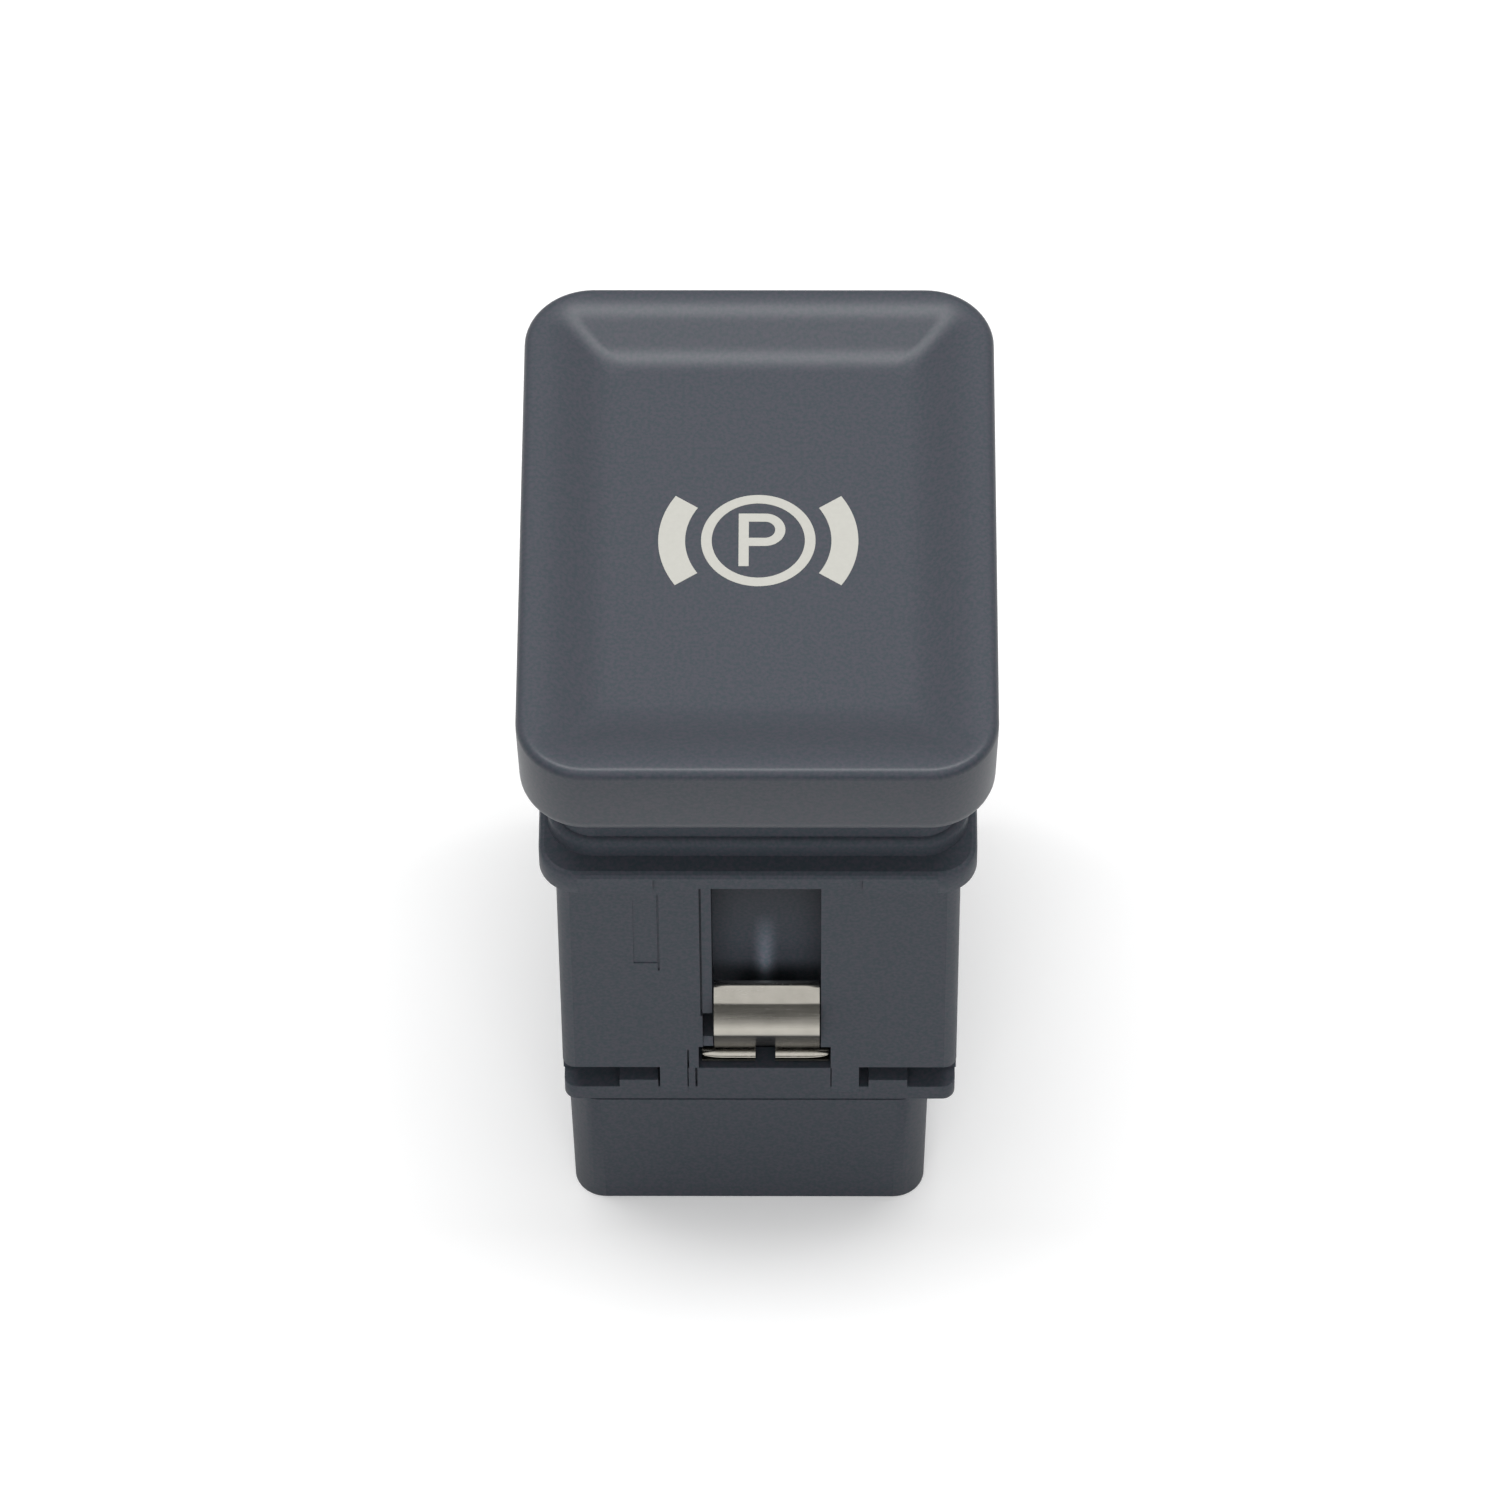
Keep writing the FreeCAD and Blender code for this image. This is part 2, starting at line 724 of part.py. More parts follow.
def connector_base():
    """The moulded base: rail plate, skirt, tongues, lugs, hooks and the connector shroud."""
    rail = rolled_block(housing_width - 2 * rail_inset, housing_length, (rail_bottom, rail_top),
                        housing_corner_radius, foot=(rail_edge_radius, 1))
    body = rail.fuse([shroud(), skirt()] + both_ends(clip_seat()) + both_ends(tongue()))
    extras = [snap_hook(s, e * snap_spacing / 2) for s in (-1, 1) for e in (-1, 1)]
    for s in (-1, 1):
        extras += both_ends(corner_lug(s))
    body = body.fuse(extras)
    legs = []
    for s in (-1, 1):
        x = sorted((s * notch_width / 2, s * corner_slot_inner))
        legs += both_ends(block(x, (front - past, inner_front), (rail_top - leg_sink, rail_top)))
    body = body.cut([shroud_cavity()] + legs)
    places = pin_places()
    island = block((places[0][0] - island_margin, places[-1][0] + island_margin),
                   (places[0][1] - island_margin, places[-1][1] + island_margin),
                   (rail_bottom - island_rise, rail_bottom + weld))
    body = body.fuse(island)
    latch = centred(latch_width, 2 * (shroud_wall + past), (latch_rise, latch_rise + latch_height),
                    (shroud_offset, front + shroud_length - shroud_wall / 2))
    holes = pin_holes((rail_bottom - island_rise - past, rail_top + past), pin_hole_gap)
    return body.cut([latch] + holes).removeSplitter()


def circuit_board():
    """The board on the skirt, notched round the clip pockets and drilled for the pins."""
    z = (board_bottom, board_top)
    body = centred(2 * (inner_side - board_edge_gap), -2 * (inner_front + board_edge_gap), z)
    half = pocket_half + board_edge_gap
    notch = block((-half, half), (front, board_notch_y), z)
    holes = [eight_sided(x, y, z, board_hole_radius) for x, y in pin_places()]
    return body.cut(both_ends(notch) + holes)


def switch_body(side_sign):
    """The body of a small push switch, with the bore that its button slides in."""
    x = side_sign * switch_x
    body = centred(switch_width, switch_width, (board_top, switch_top), (x, 0))
    body = body.makeChamfer(switch_edge, edges_at(body, switch_top))
    bore = post(x, 0, (switch_top - switch_button_depth - button_travel, switch_top),
                switch_button_radius + switch_bore_gap)
    return body.cut(bore)


def switch_button(side_sign):
    """The button of a push switch, with a bevelled edge on top."""
    z = (switch_top - switch_button_depth, switch_button_top)
    body = post(side_sign * switch_x, 0, z, switch_button_radius)
    return body.makeChamfer(switch_button_edge, edges_at(body, switch_button_top))


def return_spring(end_sign):
    """A coil spring between the deck and the plunger's plate, with flat closed ends."""
    wire = spring_wire_radius
    low = deck_top + spring_seat_gap + wire
    high = plate_bottom - spring_seat_gap - wire
    points = []
    for step in range(spring_turns * spring_steps + 1):
        turn = step / spring_steps
        rise = (turn - spring_flat_turns) / (spring_turns - 2 * spring_flat_turns)
        a = 2 * math.pi * turn
        points.append(V(spring_radius * math.cos(a), end_sign * spring_y + spring_radius * math.sin(a),
                        low + (high - low) * min(1, max(0, rise))))
    along = (points[1] - points[0]).normalize()
    out = V(0, 0, 1).cross(along)
    section = []
    for corner in range(spring_wire_sides + 1):
        a = 2 * math.pi * corner / spring_wire_sides
        section.append(points[0] + out * (wire * math.cos(a)) + V(0, 0, 1) * (wire * math.sin(a)))
    return Part.makePolygon(points).makePipeShell([Part.makePolygon(section)], True, False, 1)


def lamp(y):
    """A surface-mounted lamp with a round light window on top."""
    body = centred(led_width, led_length, (board_top, board_top + led_height), (0, y))
    body = body.makeChamfer(led_edge, edges_at(body, board_top + led_height))
    z = (board_top + led_height - led_window_depth, board_top + led_height)
    window = post(0, y, z, led_window_radius)
    return body.cut(window)


def chips(places, length, width, height):
    """Like chips at several places on the board, as separate solids."""
    solids = []
    for place in places:
        body = centred(width, length, (board_top, board_top + height), place)
        solids.append(body.makeChamfer(chip_edge, edges_at(body, board_top + height)))
    return Part.makeCompound(solids)


def resistor_places():
    """A row of four resistors behind the lamps."""
    return [((i - 1.5) * chip_pitch, resistor_y) for i in range(4)]


def terminal_pin(place):
    """A square pin through base and board, tapered at its tip."""
    x, y = place
    shaft = centred(pin_size, pin_size, (pin_tip_rise + pin_taper, board_top + pin_tail), place)
    tip_size = pin_tip_share * pin_size

    def square(size, z):
        corners = [V(x - size / 2, y - size / 2, z), V(x + size / 2, y - size / 2, z),
                   V(x + size / 2, y + size / 2, z), V(x - size / 2, y + size / 2, z)]
        return Part.makePolygon(corners + corners[:1])

    tip = Part.makeLoft([square(tip_size, pin_tip_rise),
                         square(pin_size, pin_tip_rise + pin_taper)], True, True)
    return shaft.fuse(tip).removeSplitter()


def bent_path(start, heading, moves):
    """A path of lines and tangent bends in the YZ plane, from a start point and heading."""
    y, z = start
    h = math.radians(heading)
    edges = []
    for move in moves:
        begin = V(0, y, z)
        if len(move) == 1:
            y += move[0] * math.cos(h)
            z += move[0] * math.sin(h)
            edges.append(Part.makeLine(begin, V(0, y, z)))
        else:
            radius, turn = move[0], math.radians(move[1])
            side_turn = math.copysign(math.pi / 2, turn)
            cy = y + radius * math.cos(h + side_turn)
            cz = z + radius * math.sin(h + side_turn)
            a = math.atan2(z - cz, y - cy)
            middle = V(0, cy + radius * math.cos(a + turn / 2), cz + radius * math.sin(a + turn / 2))
            y = cy + radius * math.cos(a + turn)
            z = cz + radius * math.sin(a + turn)
            h += turn
            edges.append(Part.Arc(begin, middle, V(0, y, z)).toShape())
    return Part.Wire(edges), (y, z)


def strip(path, x):
    """Sheet metal of the clip's thickness along a path, between two X planes."""
    face = path.makeOffset2D(clip_thickness / 2, 0, True, True, False)
    other = path.makeOffset2D(-clip_thickness / 2, 0, True, True, False)
    both = face.fuse(other).removeSplitter()
    solid = both.extrude(V(x[1] - x[0], 0, 0))
    solid.translate(V(x[0], 0, 0))
    return solid


def straight_strip(start, end, x):
    """A flat stretch of the clip's sheet between two (y, z) points, between two X planes."""
    length = math.hypot(end[0] - start[0], end[1] - start[1])
    ny = -(end[1] - start[1]) / length * clip_thickness / 2
    nz = (end[0] - start[0]) / length * clip_thickness / 2
    return prism_x([(start[0] + ny, start[1] + nz), (end[0] + ny, end[1] + nz),
                    (end[0] - ny, end[1] - nz), (start[0] - ny, start[1] - nz)], x)


def front_clip():
    """The retaining clip: a leaf in the base, a bend over the top, the hump and two lips."""
    lean = 90 + clip_leaf_lean_deg
    foot = (clip_anchor_y, clip_anchor_z)
    lean_rad = math.radians(lean)
    top = (foot[0] + clip_leaf_length * math.cos(lean_rad), foot[1] + clip_leaf_length * math.sin(lean_rad))
    bends, end = bent_path(top, lean, [
        (clip_top_radius, clip_lead_deg - clip_leaf_lean_deg),
        (clip_lead,),
        (clip_crease_radius, clip_crease_deg),
        (clip_slope_radius, clip_slope_deg),
        (clip_hump_radius, clip_hump_deg),
        (clip_crest_radius, clip_crest_deg),
        (clip_run,),
        (clip_foot_radius, -clip_foot_deg),
        (clip_lip,)])
    low, high = clip_offset - clip_width / 2, clip_offset + clip_width / 2
    wide = (low - clip_ear_left, high + clip_ear_right)
    leaf_x = (clip_offset - clip_leaf_width / 2, clip_offset + clip_leaf_width / 2)
    sheet = strip(bends, wide)
    box = sheet.BoundBox
    ear_top = end[1] + clip_foot_radius + clip_thickness
    outer = Part.Face(upright_outline((low, high), (ear_top - past, box.ZMax + past), clip_corner_radius,
                                      box.YMin - past))
    body_room = outer.extrude(V(0, box.YLength + 2 * past, 0))
    foot_room = round_block(wide, (end[0] - clip_thickness, box.YMax + past), (end[1] - past, ear_top),
                            clip_ear_radius)
    sheet = sheet.common(body_room.fuse(foot_room))
    slit = block((clip_slit_x - clip_slit_width / 2, clip_slit_x + clip_slit_width / 2),
                 (box.YMin - past, top[0] - clip_thickness / 2), (end[1] - past, end[1] + clip_slit_height))
    sheet = sheet.cut(slit)
    return sheet.fuse(straight_strip(foot, top, leaf_x)).removeSplitter()


def upright_outline(x, z, radius, y):
    """A rectangle in the XZ plane with round upper corners, as a wire in one Y plane."""
    r = radius
    d = r * (1 - math.sqrt(0.5))
    points = [V(x[0], y, z[0]), V(x[1], y, z[0]), V(x[1], y, z[1] - r), V(x[1] - r, y, z[1]),
              V(x[0] + r, y, z[1]), V(x[0], y, z[1] - r)]
    right = Part.Arc(points[2], V(x[1] - d, y, z[1] - d), points[3]).toShape()
    left = Part.Arc(points[4], V(x[0] + d, y, z[1] - d), points[5]).toShape()
    return Part.Wire([Part.makeLine(points[0], points[1]), Part.makeLine(points[1], points[2]), right,
                      Part.makeLine(points[3], points[4]), left, Part.makeLine(points[5], points[0])])


def build():
    """Every piece of the switch by name."""
    clip = front_clip()
    pieces = {
        "button_cap": button_cap(),
        "plunger": plunger(),
        "light_guide": light_guide(),
        "housing": housing(),
        "connector_base": connector_base(),
        "circuit_board": circuit_board(),
        "front_clip": clip,
        "rear_clip": half_turn(clip),
        "left_switch_body": switch_body(-1),
        "right_switch_body": switch_body(1),
        "left_switch_button": switch_button(-1),
        "right_switch_button": switch_button(1),
        "front_return_spring": return_spring(-1),
        "rear_return_spring": return_spring(1),
        "backlight_lamp": lamp(-led_spacing / 2),
        "status_lamp": lamp(led_spacing / 2),
        "chip_resistors": chips(resistor_places(), chip_length, chip_width, chip_height),
        "protection_diodes": chips([(-diode_x, diode_y), (diode_x, diode_y)],
                                   diode_length, diode_width, diode_height),
    }
    for number, place in enumerate(pin_places(), 1):
        pieces[f"terminal_pin_{number:02d}"] = terminal_pin(place)
    return pieces


os.makedirs("parts", exist_ok=True)
for name, shape in build().items():
    shape.exportStep(f"parts/{name}.step")
    print(f"{name:22s} {len(shape.Solids)} solids  {shape.Volume:9.2f} mm3  valid {shape.isValid()}")
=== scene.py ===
# %% [markdown]
# Electric parking brake switch: the looks
#
# This lesson dresses a finished CAD model of a small push switch from a car's console. Every
# length is in metres and every place is in the model's own frame: +Z is up, the button is on
# top, the front is at -Y, and z = 0 is the rim of the connector shroud that the part stands on.
# The model comes in as a fixed frame, so its pieces are never moved or resized here. They get
# their finishes, and a few of them get a finer form beside them or in their place.

import json
import math

import bmesh
import bpy
from mathutils import Matrix, Vector


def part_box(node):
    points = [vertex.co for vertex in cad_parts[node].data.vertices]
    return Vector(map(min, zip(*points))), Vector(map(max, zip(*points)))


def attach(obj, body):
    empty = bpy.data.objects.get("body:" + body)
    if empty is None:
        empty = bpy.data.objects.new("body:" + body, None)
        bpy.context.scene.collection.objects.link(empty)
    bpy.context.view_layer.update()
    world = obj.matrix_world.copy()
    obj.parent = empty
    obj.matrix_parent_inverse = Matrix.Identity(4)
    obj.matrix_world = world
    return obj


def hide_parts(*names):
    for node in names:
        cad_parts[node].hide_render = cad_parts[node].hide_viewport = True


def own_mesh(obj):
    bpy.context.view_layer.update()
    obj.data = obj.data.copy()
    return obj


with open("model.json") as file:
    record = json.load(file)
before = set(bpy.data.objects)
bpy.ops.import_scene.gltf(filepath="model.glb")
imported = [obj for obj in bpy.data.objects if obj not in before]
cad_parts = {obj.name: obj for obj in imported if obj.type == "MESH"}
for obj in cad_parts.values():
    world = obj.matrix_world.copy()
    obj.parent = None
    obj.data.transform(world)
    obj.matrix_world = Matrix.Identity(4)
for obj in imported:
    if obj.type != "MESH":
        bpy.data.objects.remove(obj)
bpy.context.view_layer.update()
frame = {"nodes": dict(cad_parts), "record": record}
nodes = frame["nodes"]
MM = 0.001
print("pieces in the frame:", len(nodes))

# %% [markdown]
# Camera
#
# The photograph was taken with a long lens from 54 degrees above the table, almost straight in
# front. A long lens keeps the sides nearly parallel. The camera stood half a degree to the right
# and was tipped by less than half a degree, which the lean of the side walls shows. A camera can
# be aimed by hand or by a tracking constraint, but these angles are known, so its matrix is
# worked out from them and is the same each time. The frame is 1500 pixels square, and a very
# small lens shift puts the object a few pixels right of its middle.

# %% Camera
PHOTO_SIDE = 1500
OBJECT_MIDDLE_U = 759.7
FOCAL_PIXELS = 9124.2
CAMERA_ELEVATION = math.radians(54.05)
CAMERA_AZIMUTH = math.radians(0.554)
CAMERA_ROLL = math.radians(-0.391)
CAMERA_DISTANCE = 0.57345
AIM_BELOW_TOP = 23.2 * MM

camera_data = bpy.data.cameras.new("photo_camera")
camera_data.sensor_width = 36
camera_data.lens = FOCAL_PIXELS / PHOTO_SIDE * camera_data.sensor_width
camera_data.shift_x = (PHOTO_SIDE / 2 - OBJECT_MIDDLE_U) / PHOTO_SIDE
camera_data.clip_start = 0.01
camera = bpy.data.objects.new("photo_camera", camera_data)
aim = Matrix.Translation((0, 0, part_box("button_cap")[1].z - AIM_BELOW_TOP))
turned = Matrix.Rotation(CAMERA_AZIMUTH, 4, "Z")
tilted = Matrix.Rotation(math.pi / 2 - CAMERA_ELEVATION, 4, "X")
backed_off = Matrix.Translation((0, 0, CAMERA_DISTANCE))
rolled = Matrix.Rotation(CAMERA_ROLL, 4, "Z")
camera.matrix_world = aim @ turned @ tilted @ backed_off @ rolled
bpy.context.scene.collection.objects.link(camera)
bpy.context.scene.camera = camera
print("lens in mm:", round(camera_data.lens, 1))

# %% [markdown]
# Small helpers
#
# A material is a short chain of nodes, and a mesh is points and faces. Both could be made with
# Blender's operators, but an operator acts on whatever is selected, which is easy to get wrong
# in a script. Here the data is made directly: one helper starts a material, one adds a node, one
# joins two sockets, and the last turns a finished bmesh into an object.

# %% Node helpers


def new_material(name):
    """An empty node material with its Principled shader."""
    material = bpy.data.materials.new(name)
    material.use_nodes = True
    return material, material.node_tree, material.node_tree.nodes["Principled BSDF"]


def add(tree, kind, **values):
    """Add a node. Names that match an input set it, and the others set the node itself."""
    node = tree.nodes.new("ShaderNode" + kind)
    for key, value in values.items():
        socket = node.inputs.get(key.replace("_", " "))
        if socket is not None and not hasattr(node, key):
            socket.default_value = value
        else:
            setattr(node, key, value)
    return node


def join(tree, start, start_socket, end, end_socket):
    """Run a wire from one node's output to another's input."""
    tree.links.new(start.outputs[start_socket], end.inputs[end_socket])


print("node helpers ready")

# %% Mesh helper


def mesh_object(name, bm, smooth_below=None):
    """Turn a bmesh into a linked object, smooth where faces meet at less than an angle."""
    mesh = bpy.data.meshes.new(name)
    bmesh.ops.recalc_face_normals(bm, faces=bm.faces)
    bm.to_mesh(mesh)
    bm.free()
    if smooth_below is not None:
        mesh.shade_smooth()
        mesh.set_sharp_from_angle(angle=math.radians(smooth_below))
    obj = bpy.data.objects.new(name, mesh)
    bpy.context.scene.collection.objects.link(obj)
    return obj


print("mesh helper ready")

# %% [markdown]
# Steps that all finishes share
#
# No real surface is one flat colour. Each finish here has a noise in the piece's own coordinates,
# so it needs no unwrapping and stays put when the piece moves. The noise drives three things: a
# ramp between two close colours, the roughness, and a very small bump. A photograph of a surface
# could do the same, but it would repeat and blur from close by.

# %% Noise, bump, gloss and tones
MIX_FACTOR, MIX_A, MIX_B, MIX_RESULT = 0, 6, 7, 2


def noise_over(tree, place, socket, **values):
    """A noise that is laid out by another node's vector."""
    noise = add(tree, "TexNoise", **values)
    join(tree, place, socket, noise, "Vector")
    return noise


def raise_surface(tree, noise, shader, strength, depth):
    """Let a noise raise the surface by up to a depth."""
    bump = add(tree, "Bump", Strength=strength, Distance=depth)
    join(tree, noise, "Fac", bump, "Height")
    join(tree, bump, "Normal", shader, "Normal")


def vary_gloss(tree, noise, shader, low, high):
    """Let a noise carry the roughness between two values."""
    gloss = add(tree, "MapRange", To_Min=low, To_Max=high)
    join(tree, noise, "Fac", gloss, "Value")
    join(tree, gloss, "Result", shader, "Roughness")


def tone_ramp(tree, noise, first, last, ends=(0.0, 1.0)):
    """Turn a noise into colours between two others."""
    ramp = add(tree, "ValToRGB")
    for stop, colour, position in zip(ramp.color_ramp.elements, (first, last), ends):
        stop.color = (*colour, 1)
        stop.position = position
    join(tree, noise, "Fac", ramp, "Fac")
    return ramp


def times_painted_shade(tree, tones, painted_shade, shader):
    """Multiply a finish's colours by a painted shade, as the shader's base colour."""
    product = add(tree, "Mix", data_type="RGBA", blend_type="MULTIPLY")
    product.inputs[MIX_FACTOR].default_value = 1.0
    join(tree, tones, "Color", product, MIX_A)
    join(tree, painted_shade, "Color", product, MIX_B)
    join(tree, product, MIX_RESULT, shader, "Base Color")


def scaled(colour, shares):
    """A colour with each channel multiplied by its own share."""
    return [channel * share for channel, share in zip(colour, shares)]


print("steps of a finish ready")

# %% [markdown]
# Moulded plastic
#
# The housing, base and button are a filled plastic from spark-eroded moulds: a fine, even grain
# that makes the surface satin. A bump from small noise breaks up the highlights, and the same
# noise shifts the roughness a little. A slightly wider noise shifts the colour between a
# green-grey and a purple-grey, as pigment in filled plastic does. The walls at the back of the
# clip pockets carry painted shade and light: their meshes say how dark each place is painted.

# %% Moulded plastic finish
GRAIN_SIZE = 0.16 * MM
GRAIN_DEPTH = 0.006 * MM
GRAIN_STRENGTH = 0.35
GREEN_GREY = (0.8, 0.94, 0.94)
PURPLE_GREY = (1.2, 1.06, 1.12)
PIGMENT_SCALE = 0.7 / GRAIN_SIZE
PIGMENT_ENDS = (0.36, 0.64)
GLOSS_WANDER = 0.05


def moulded_plastic(name, colour, roughness, specular=0.35, with_painted_shade=False):
    """Satin dark plastic with an eroded grain. One with painted shade takes painted light and shade
    from the mesh.
    """
    material, tree, shader = new_material(name)
    shader.inputs["Specular IOR Level"].default_value = specular
    place = add(tree, "TexCoord")
    grain = noise_over(tree, place, "Object", Scale=1 / GRAIN_SIZE, Detail=3.0, Roughness=0.6)
    raise_surface(tree, grain, shader, GRAIN_STRENGTH, GRAIN_DEPTH)
    vary_gloss(tree, grain, shader, roughness - GLOSS_WANDER, roughness + GLOSS_WANDER)
    pigment = noise_over(tree, place, "Object", Scale=PIGMENT_SCALE, Detail=2.0)
    cool, warm = scaled(colour, GREEN_GREY), scaled(colour, PURPLE_GREY)
    tones = tone_ramp(tree, pigment, cool, warm, PIGMENT_ENDS)
    if with_painted_shade:
        # The mesh's painted shade and light multiply the colour.
        times_painted_shade(tree, tones, add(tree, "Attribute", attribute_name="painted_shading"), shader)
    else:
        join(tree, tones, "Color", shader, "Base Color")
    return material


cap_finish = moulded_plastic("cap_satin", (0.047, 0.053, 0.065), 0.38)
housing_finish = moulded_plastic("housing_satin", (0.057, 0.065, 0.078), 0.5, specular=0.2)
base_finish = moulded_plastic("base_satin", (0.052, 0.059, 0.071), 0.5, specular=0.2)
# The pocket's colour is lighter, since the painted shade and light of its mesh multiply it.
pocket_painted_finish = moulded_plastic("pocket_satin_painted_shade", (0.18, 0.2, 0.235), 0.55, specular=0.2, with_painted_shade=True)
inner_finish = moulded_plastic("inner_black", (0.02, 0.02, 0.021), 0.55)
plastics = (cap_finish, housing_finish, base_finish, pocket_painted_finish, inner_finish)
print("plastic finishes:", [finish.name for finish in plastics])

# %% [markdown]
# Spring steel
#
# The clip is stamped from bright strip and bent. Rolling leaves fine scratches along the strip. An
# anisotropic shader could stretch the highlights, but it needs a direction that these meshes don't
# carry, so a noise that is stretched along one axis drives both the bump and the roughness. A
# second, softer noise leaves the metal slightly stained. The bends also carry light and dark bands
# painted into the colour by height: painted reflections of a room that this studio doesn't have,
# and painted shade. They stay on the metal from any side.

# %% Painted reflections and shade for each height


def painted_light_by_height(tree, place, painted_bands):
    """Painted reflections and shade by height. Each band is a height in millimetres and a share of
    the full colour.
    """
    parts_of_place = add(tree, "SeparateXYZ")
    join(tree, place, "Object", parts_of_place, "Vector")
    low, high = painted_bands[0][0], painted_bands[-1][0]
    height = add(tree, "MapRange", From_Min=low * MM, From_Max=high * MM)
    join(tree, parts_of_place, "Z", height, "Value")
    painted_shade = add(tree, "ValToRGB")
    stops = painted_shade.color_ramp.elements
    stops[0].color = (*[painted_bands[0][1]] * 3, 1)
    stops[1].color = (*[painted_bands[-1][1]] * 3, 1)
    for z, share in painted_bands[1:-1]:
        stops.new((z - low) / (high - low)).color = (share, share, share, 1)
    join(tree, height, "Result", painted_shade, "Fac")
    return painted_shade


print("height shade ready")

# %% Spring steel finish
SCRATCH_SCALE = 9000.0
SCRATCH_DEPTH = 0.003 * MM
SCRATCH_STRENGTH = 0.25
RUBBED = 0.07
SCRATCHED = 0.09
STAIN_SCALE = 900.0
STAINED = (0.82, 0.82, 0.8)
BRIGHT = (1.1, 1.1, 1.1)
ALONG_X = (0.06, 1.0, 1.0)
ALONG_Z = (1.0, 1.0, 0.08)
EVEN = (1.0, 1.0, 1.0)


def rolled_steel(name, colour, roughness, stretch=ALONG_X, painted_bands=None):
    """Metal with fine scratches along one axis, and painted reflections and shade by height if
    painted bands are given.
    """
    material, tree, shader = new_material(name)
    shader.inputs["Metallic"].default_value = 1.0
    place = add(tree, "TexCoord")
    stretched = add(tree, "Mapping")
    stretched.inputs["Scale"].default_value = stretch
    join(tree, place, "Object", stretched, "Vector")
    fine = {"Scale": SCRATCH_SCALE, "Detail": 4.0, "Roughness": 0.7}
    scratches = noise_over(tree, stretched, "Vector", **fine)
    raise_surface(tree, scratches, shader, SCRATCH_STRENGTH, SCRATCH_DEPTH)
    vary_gloss(tree, scratches, shader, roughness - RUBBED, roughness + SCRATCHED)
    stain = noise_over(tree, place, "Object", Scale=STAIN_SCALE, Detail=3.0)
    tones = tone_ramp(tree, stain, scaled(colour, STAINED), scaled(colour, BRIGHT))
    if painted_bands:
        # Painted reflections and painted shade by height multiply the colour.
        times_painted_shade(tree, tones, painted_light_by_height(tree, place, painted_bands), shader)
    else:
        join(tree, tones, "Color", shader, "Base Color")
    return material


# %% The metals
# Painted reflections and painted shade on the clip: a height in millimetres and a share of its
# colour.
CLIP_PAINTED_BANDS = ((15.1, 0.08), (15.5, 0.15), (15.9, 0.18), (19.65, 0.15), (19.9, 0.3),
              (20.15, 0.66), (20.6, 0.7), (20.85, 0.56), (21.1, 0.4), (21.35, 0.4),
              (21.6, 0.7), (21.9, 0.92), (22.15, 0.75), (22.9, 0.78))
clip_painted_finish = rolled_steel("clip_steel_painted_reflections", (0.69, 0.66, 0.595), 0.24, painted_bands=CLIP_PAINTED_BANDS)
lip_finish = rolled_steel("lip_steel", (0.62, 0.59, 0.53), 0.26)
wire_finish = rolled_steel("spring_wire", (0.55, 0.55, 0.55), 0.25, stretch=EVEN)
pin_finish = rolled_steel("tin_plate", (0.62, 0.60, 0.54), 0.3, stretch=ALONG_Z)
metals = (clip_painted_finish, lip_finish, wire_finish, pin_finish)
print("metal finishes:", [finish.name for finish in metals])

# %% [markdown]
# The other materials
#
# Inside sit a clear light guide, a green board, small switches, lamps and chips. Each could have
# its own recipe, but they are all hard, even and small, so one serves: a colour and a gloss that
# wander by a few percent. The last cell of the step ties a finish to each slot of the record.

# %% Hard, even finishes
CLOUD_SCALE = 2500.0
CLOUD_GLOSS = 0.04
GLOSSIEST = 0.02


def plain_finish(name, colour, roughness, spread=0.06, scale=CLOUD_SCALE, transmission=0.0):
    """A hard, even material whose colour and gloss wander a little."""
    material, tree, shader = new_material(name)
    shader.inputs["Transmission Weight"].default_value = transmission
    cloud = noise_over(tree, add(tree, "TexCoord"), "Object", Scale=scale, Detail=3.0)
    dark = [channel * (1 - spread) for channel in colour]
    light = [min(1, channel * (1 + spread)) for channel in colour]
    join(tree, tone_ramp(tree, cloud, dark, light), "Color", shader, "Base Color")
    low_gloss = max(GLOSSIEST, roughness - CLOUD_GLOSS)
    vary_gloss(tree, cloud, shader, low_gloss, roughness + CLOUD_GLOSS)
    return material


print("plain finish ready")

# %% A finish for each slot
finishes = {
    "cap_plastic": cap_finish,
    "housing_plastic": housing_finish,
    "base_plastic": base_finish,
    "inner_plastic": inner_finish,
    "spring_steel": clip_painted_finish,
    "spring_wire": wire_finish,
    "pin_plating": pin_finish,
    "clear_plastic": plain_finish("clear_guide", (0.9, 0.93, 0.95), 0.08, 0.02, transmission=0.9),
    "board_laminate": plain_finish("solder_mask", (0.02, 0.13, 0.06), 0.3, 0.15),
    "switch_plastic": plain_finish("switch_black", (0.03, 0.03, 0.032), 0.4, 0.2),
    "switch_button_plastic": plain_finish("switch_ivory", (0.6, 0.56, 0.48), 0.35),
    "lamp_body": plain_finish("lamp_white", (0.8, 0.78, 0.7), 0.3),
    "chip_body": plain_finish("chip_black", (0.03, 0.03, 0.03), 0.45, 0.25),
}
print("slots with a finish:", len(finishes))

# %% [markdown]
# Dressing the carried-over pieces
#
# The record says which material slot each piece takes. A CAD mesh comes in as triangles with hard
# edges, while a moulded edge is never quite sharp. The CAD model could round its edges itself, but
# that would cost thousands of faces. Three modifiers do it for the picture alone and leave the
# mesh as it is: Weld joins the triangles' corners, a planar Decimate turns each flat side into one
# face, and a narrow Bevel rounds the edges.

# %% Soft edges
WELD_REACH = 0.001 * MM
FLAT_WITHIN = math.radians(0.5)
ROUND_ABOVE = math.radians(35)
MOULDED_EDGE = 0.12 * MM
SHEET_EDGE = 0.04 * MM
edge_round = {
    "housing": MOULDED_EDGE,
    "connector_base": MOULDED_EDGE,
    "front_clip": SHEET_EDGE,
    "rear_clip": SHEET_EDGE,
}


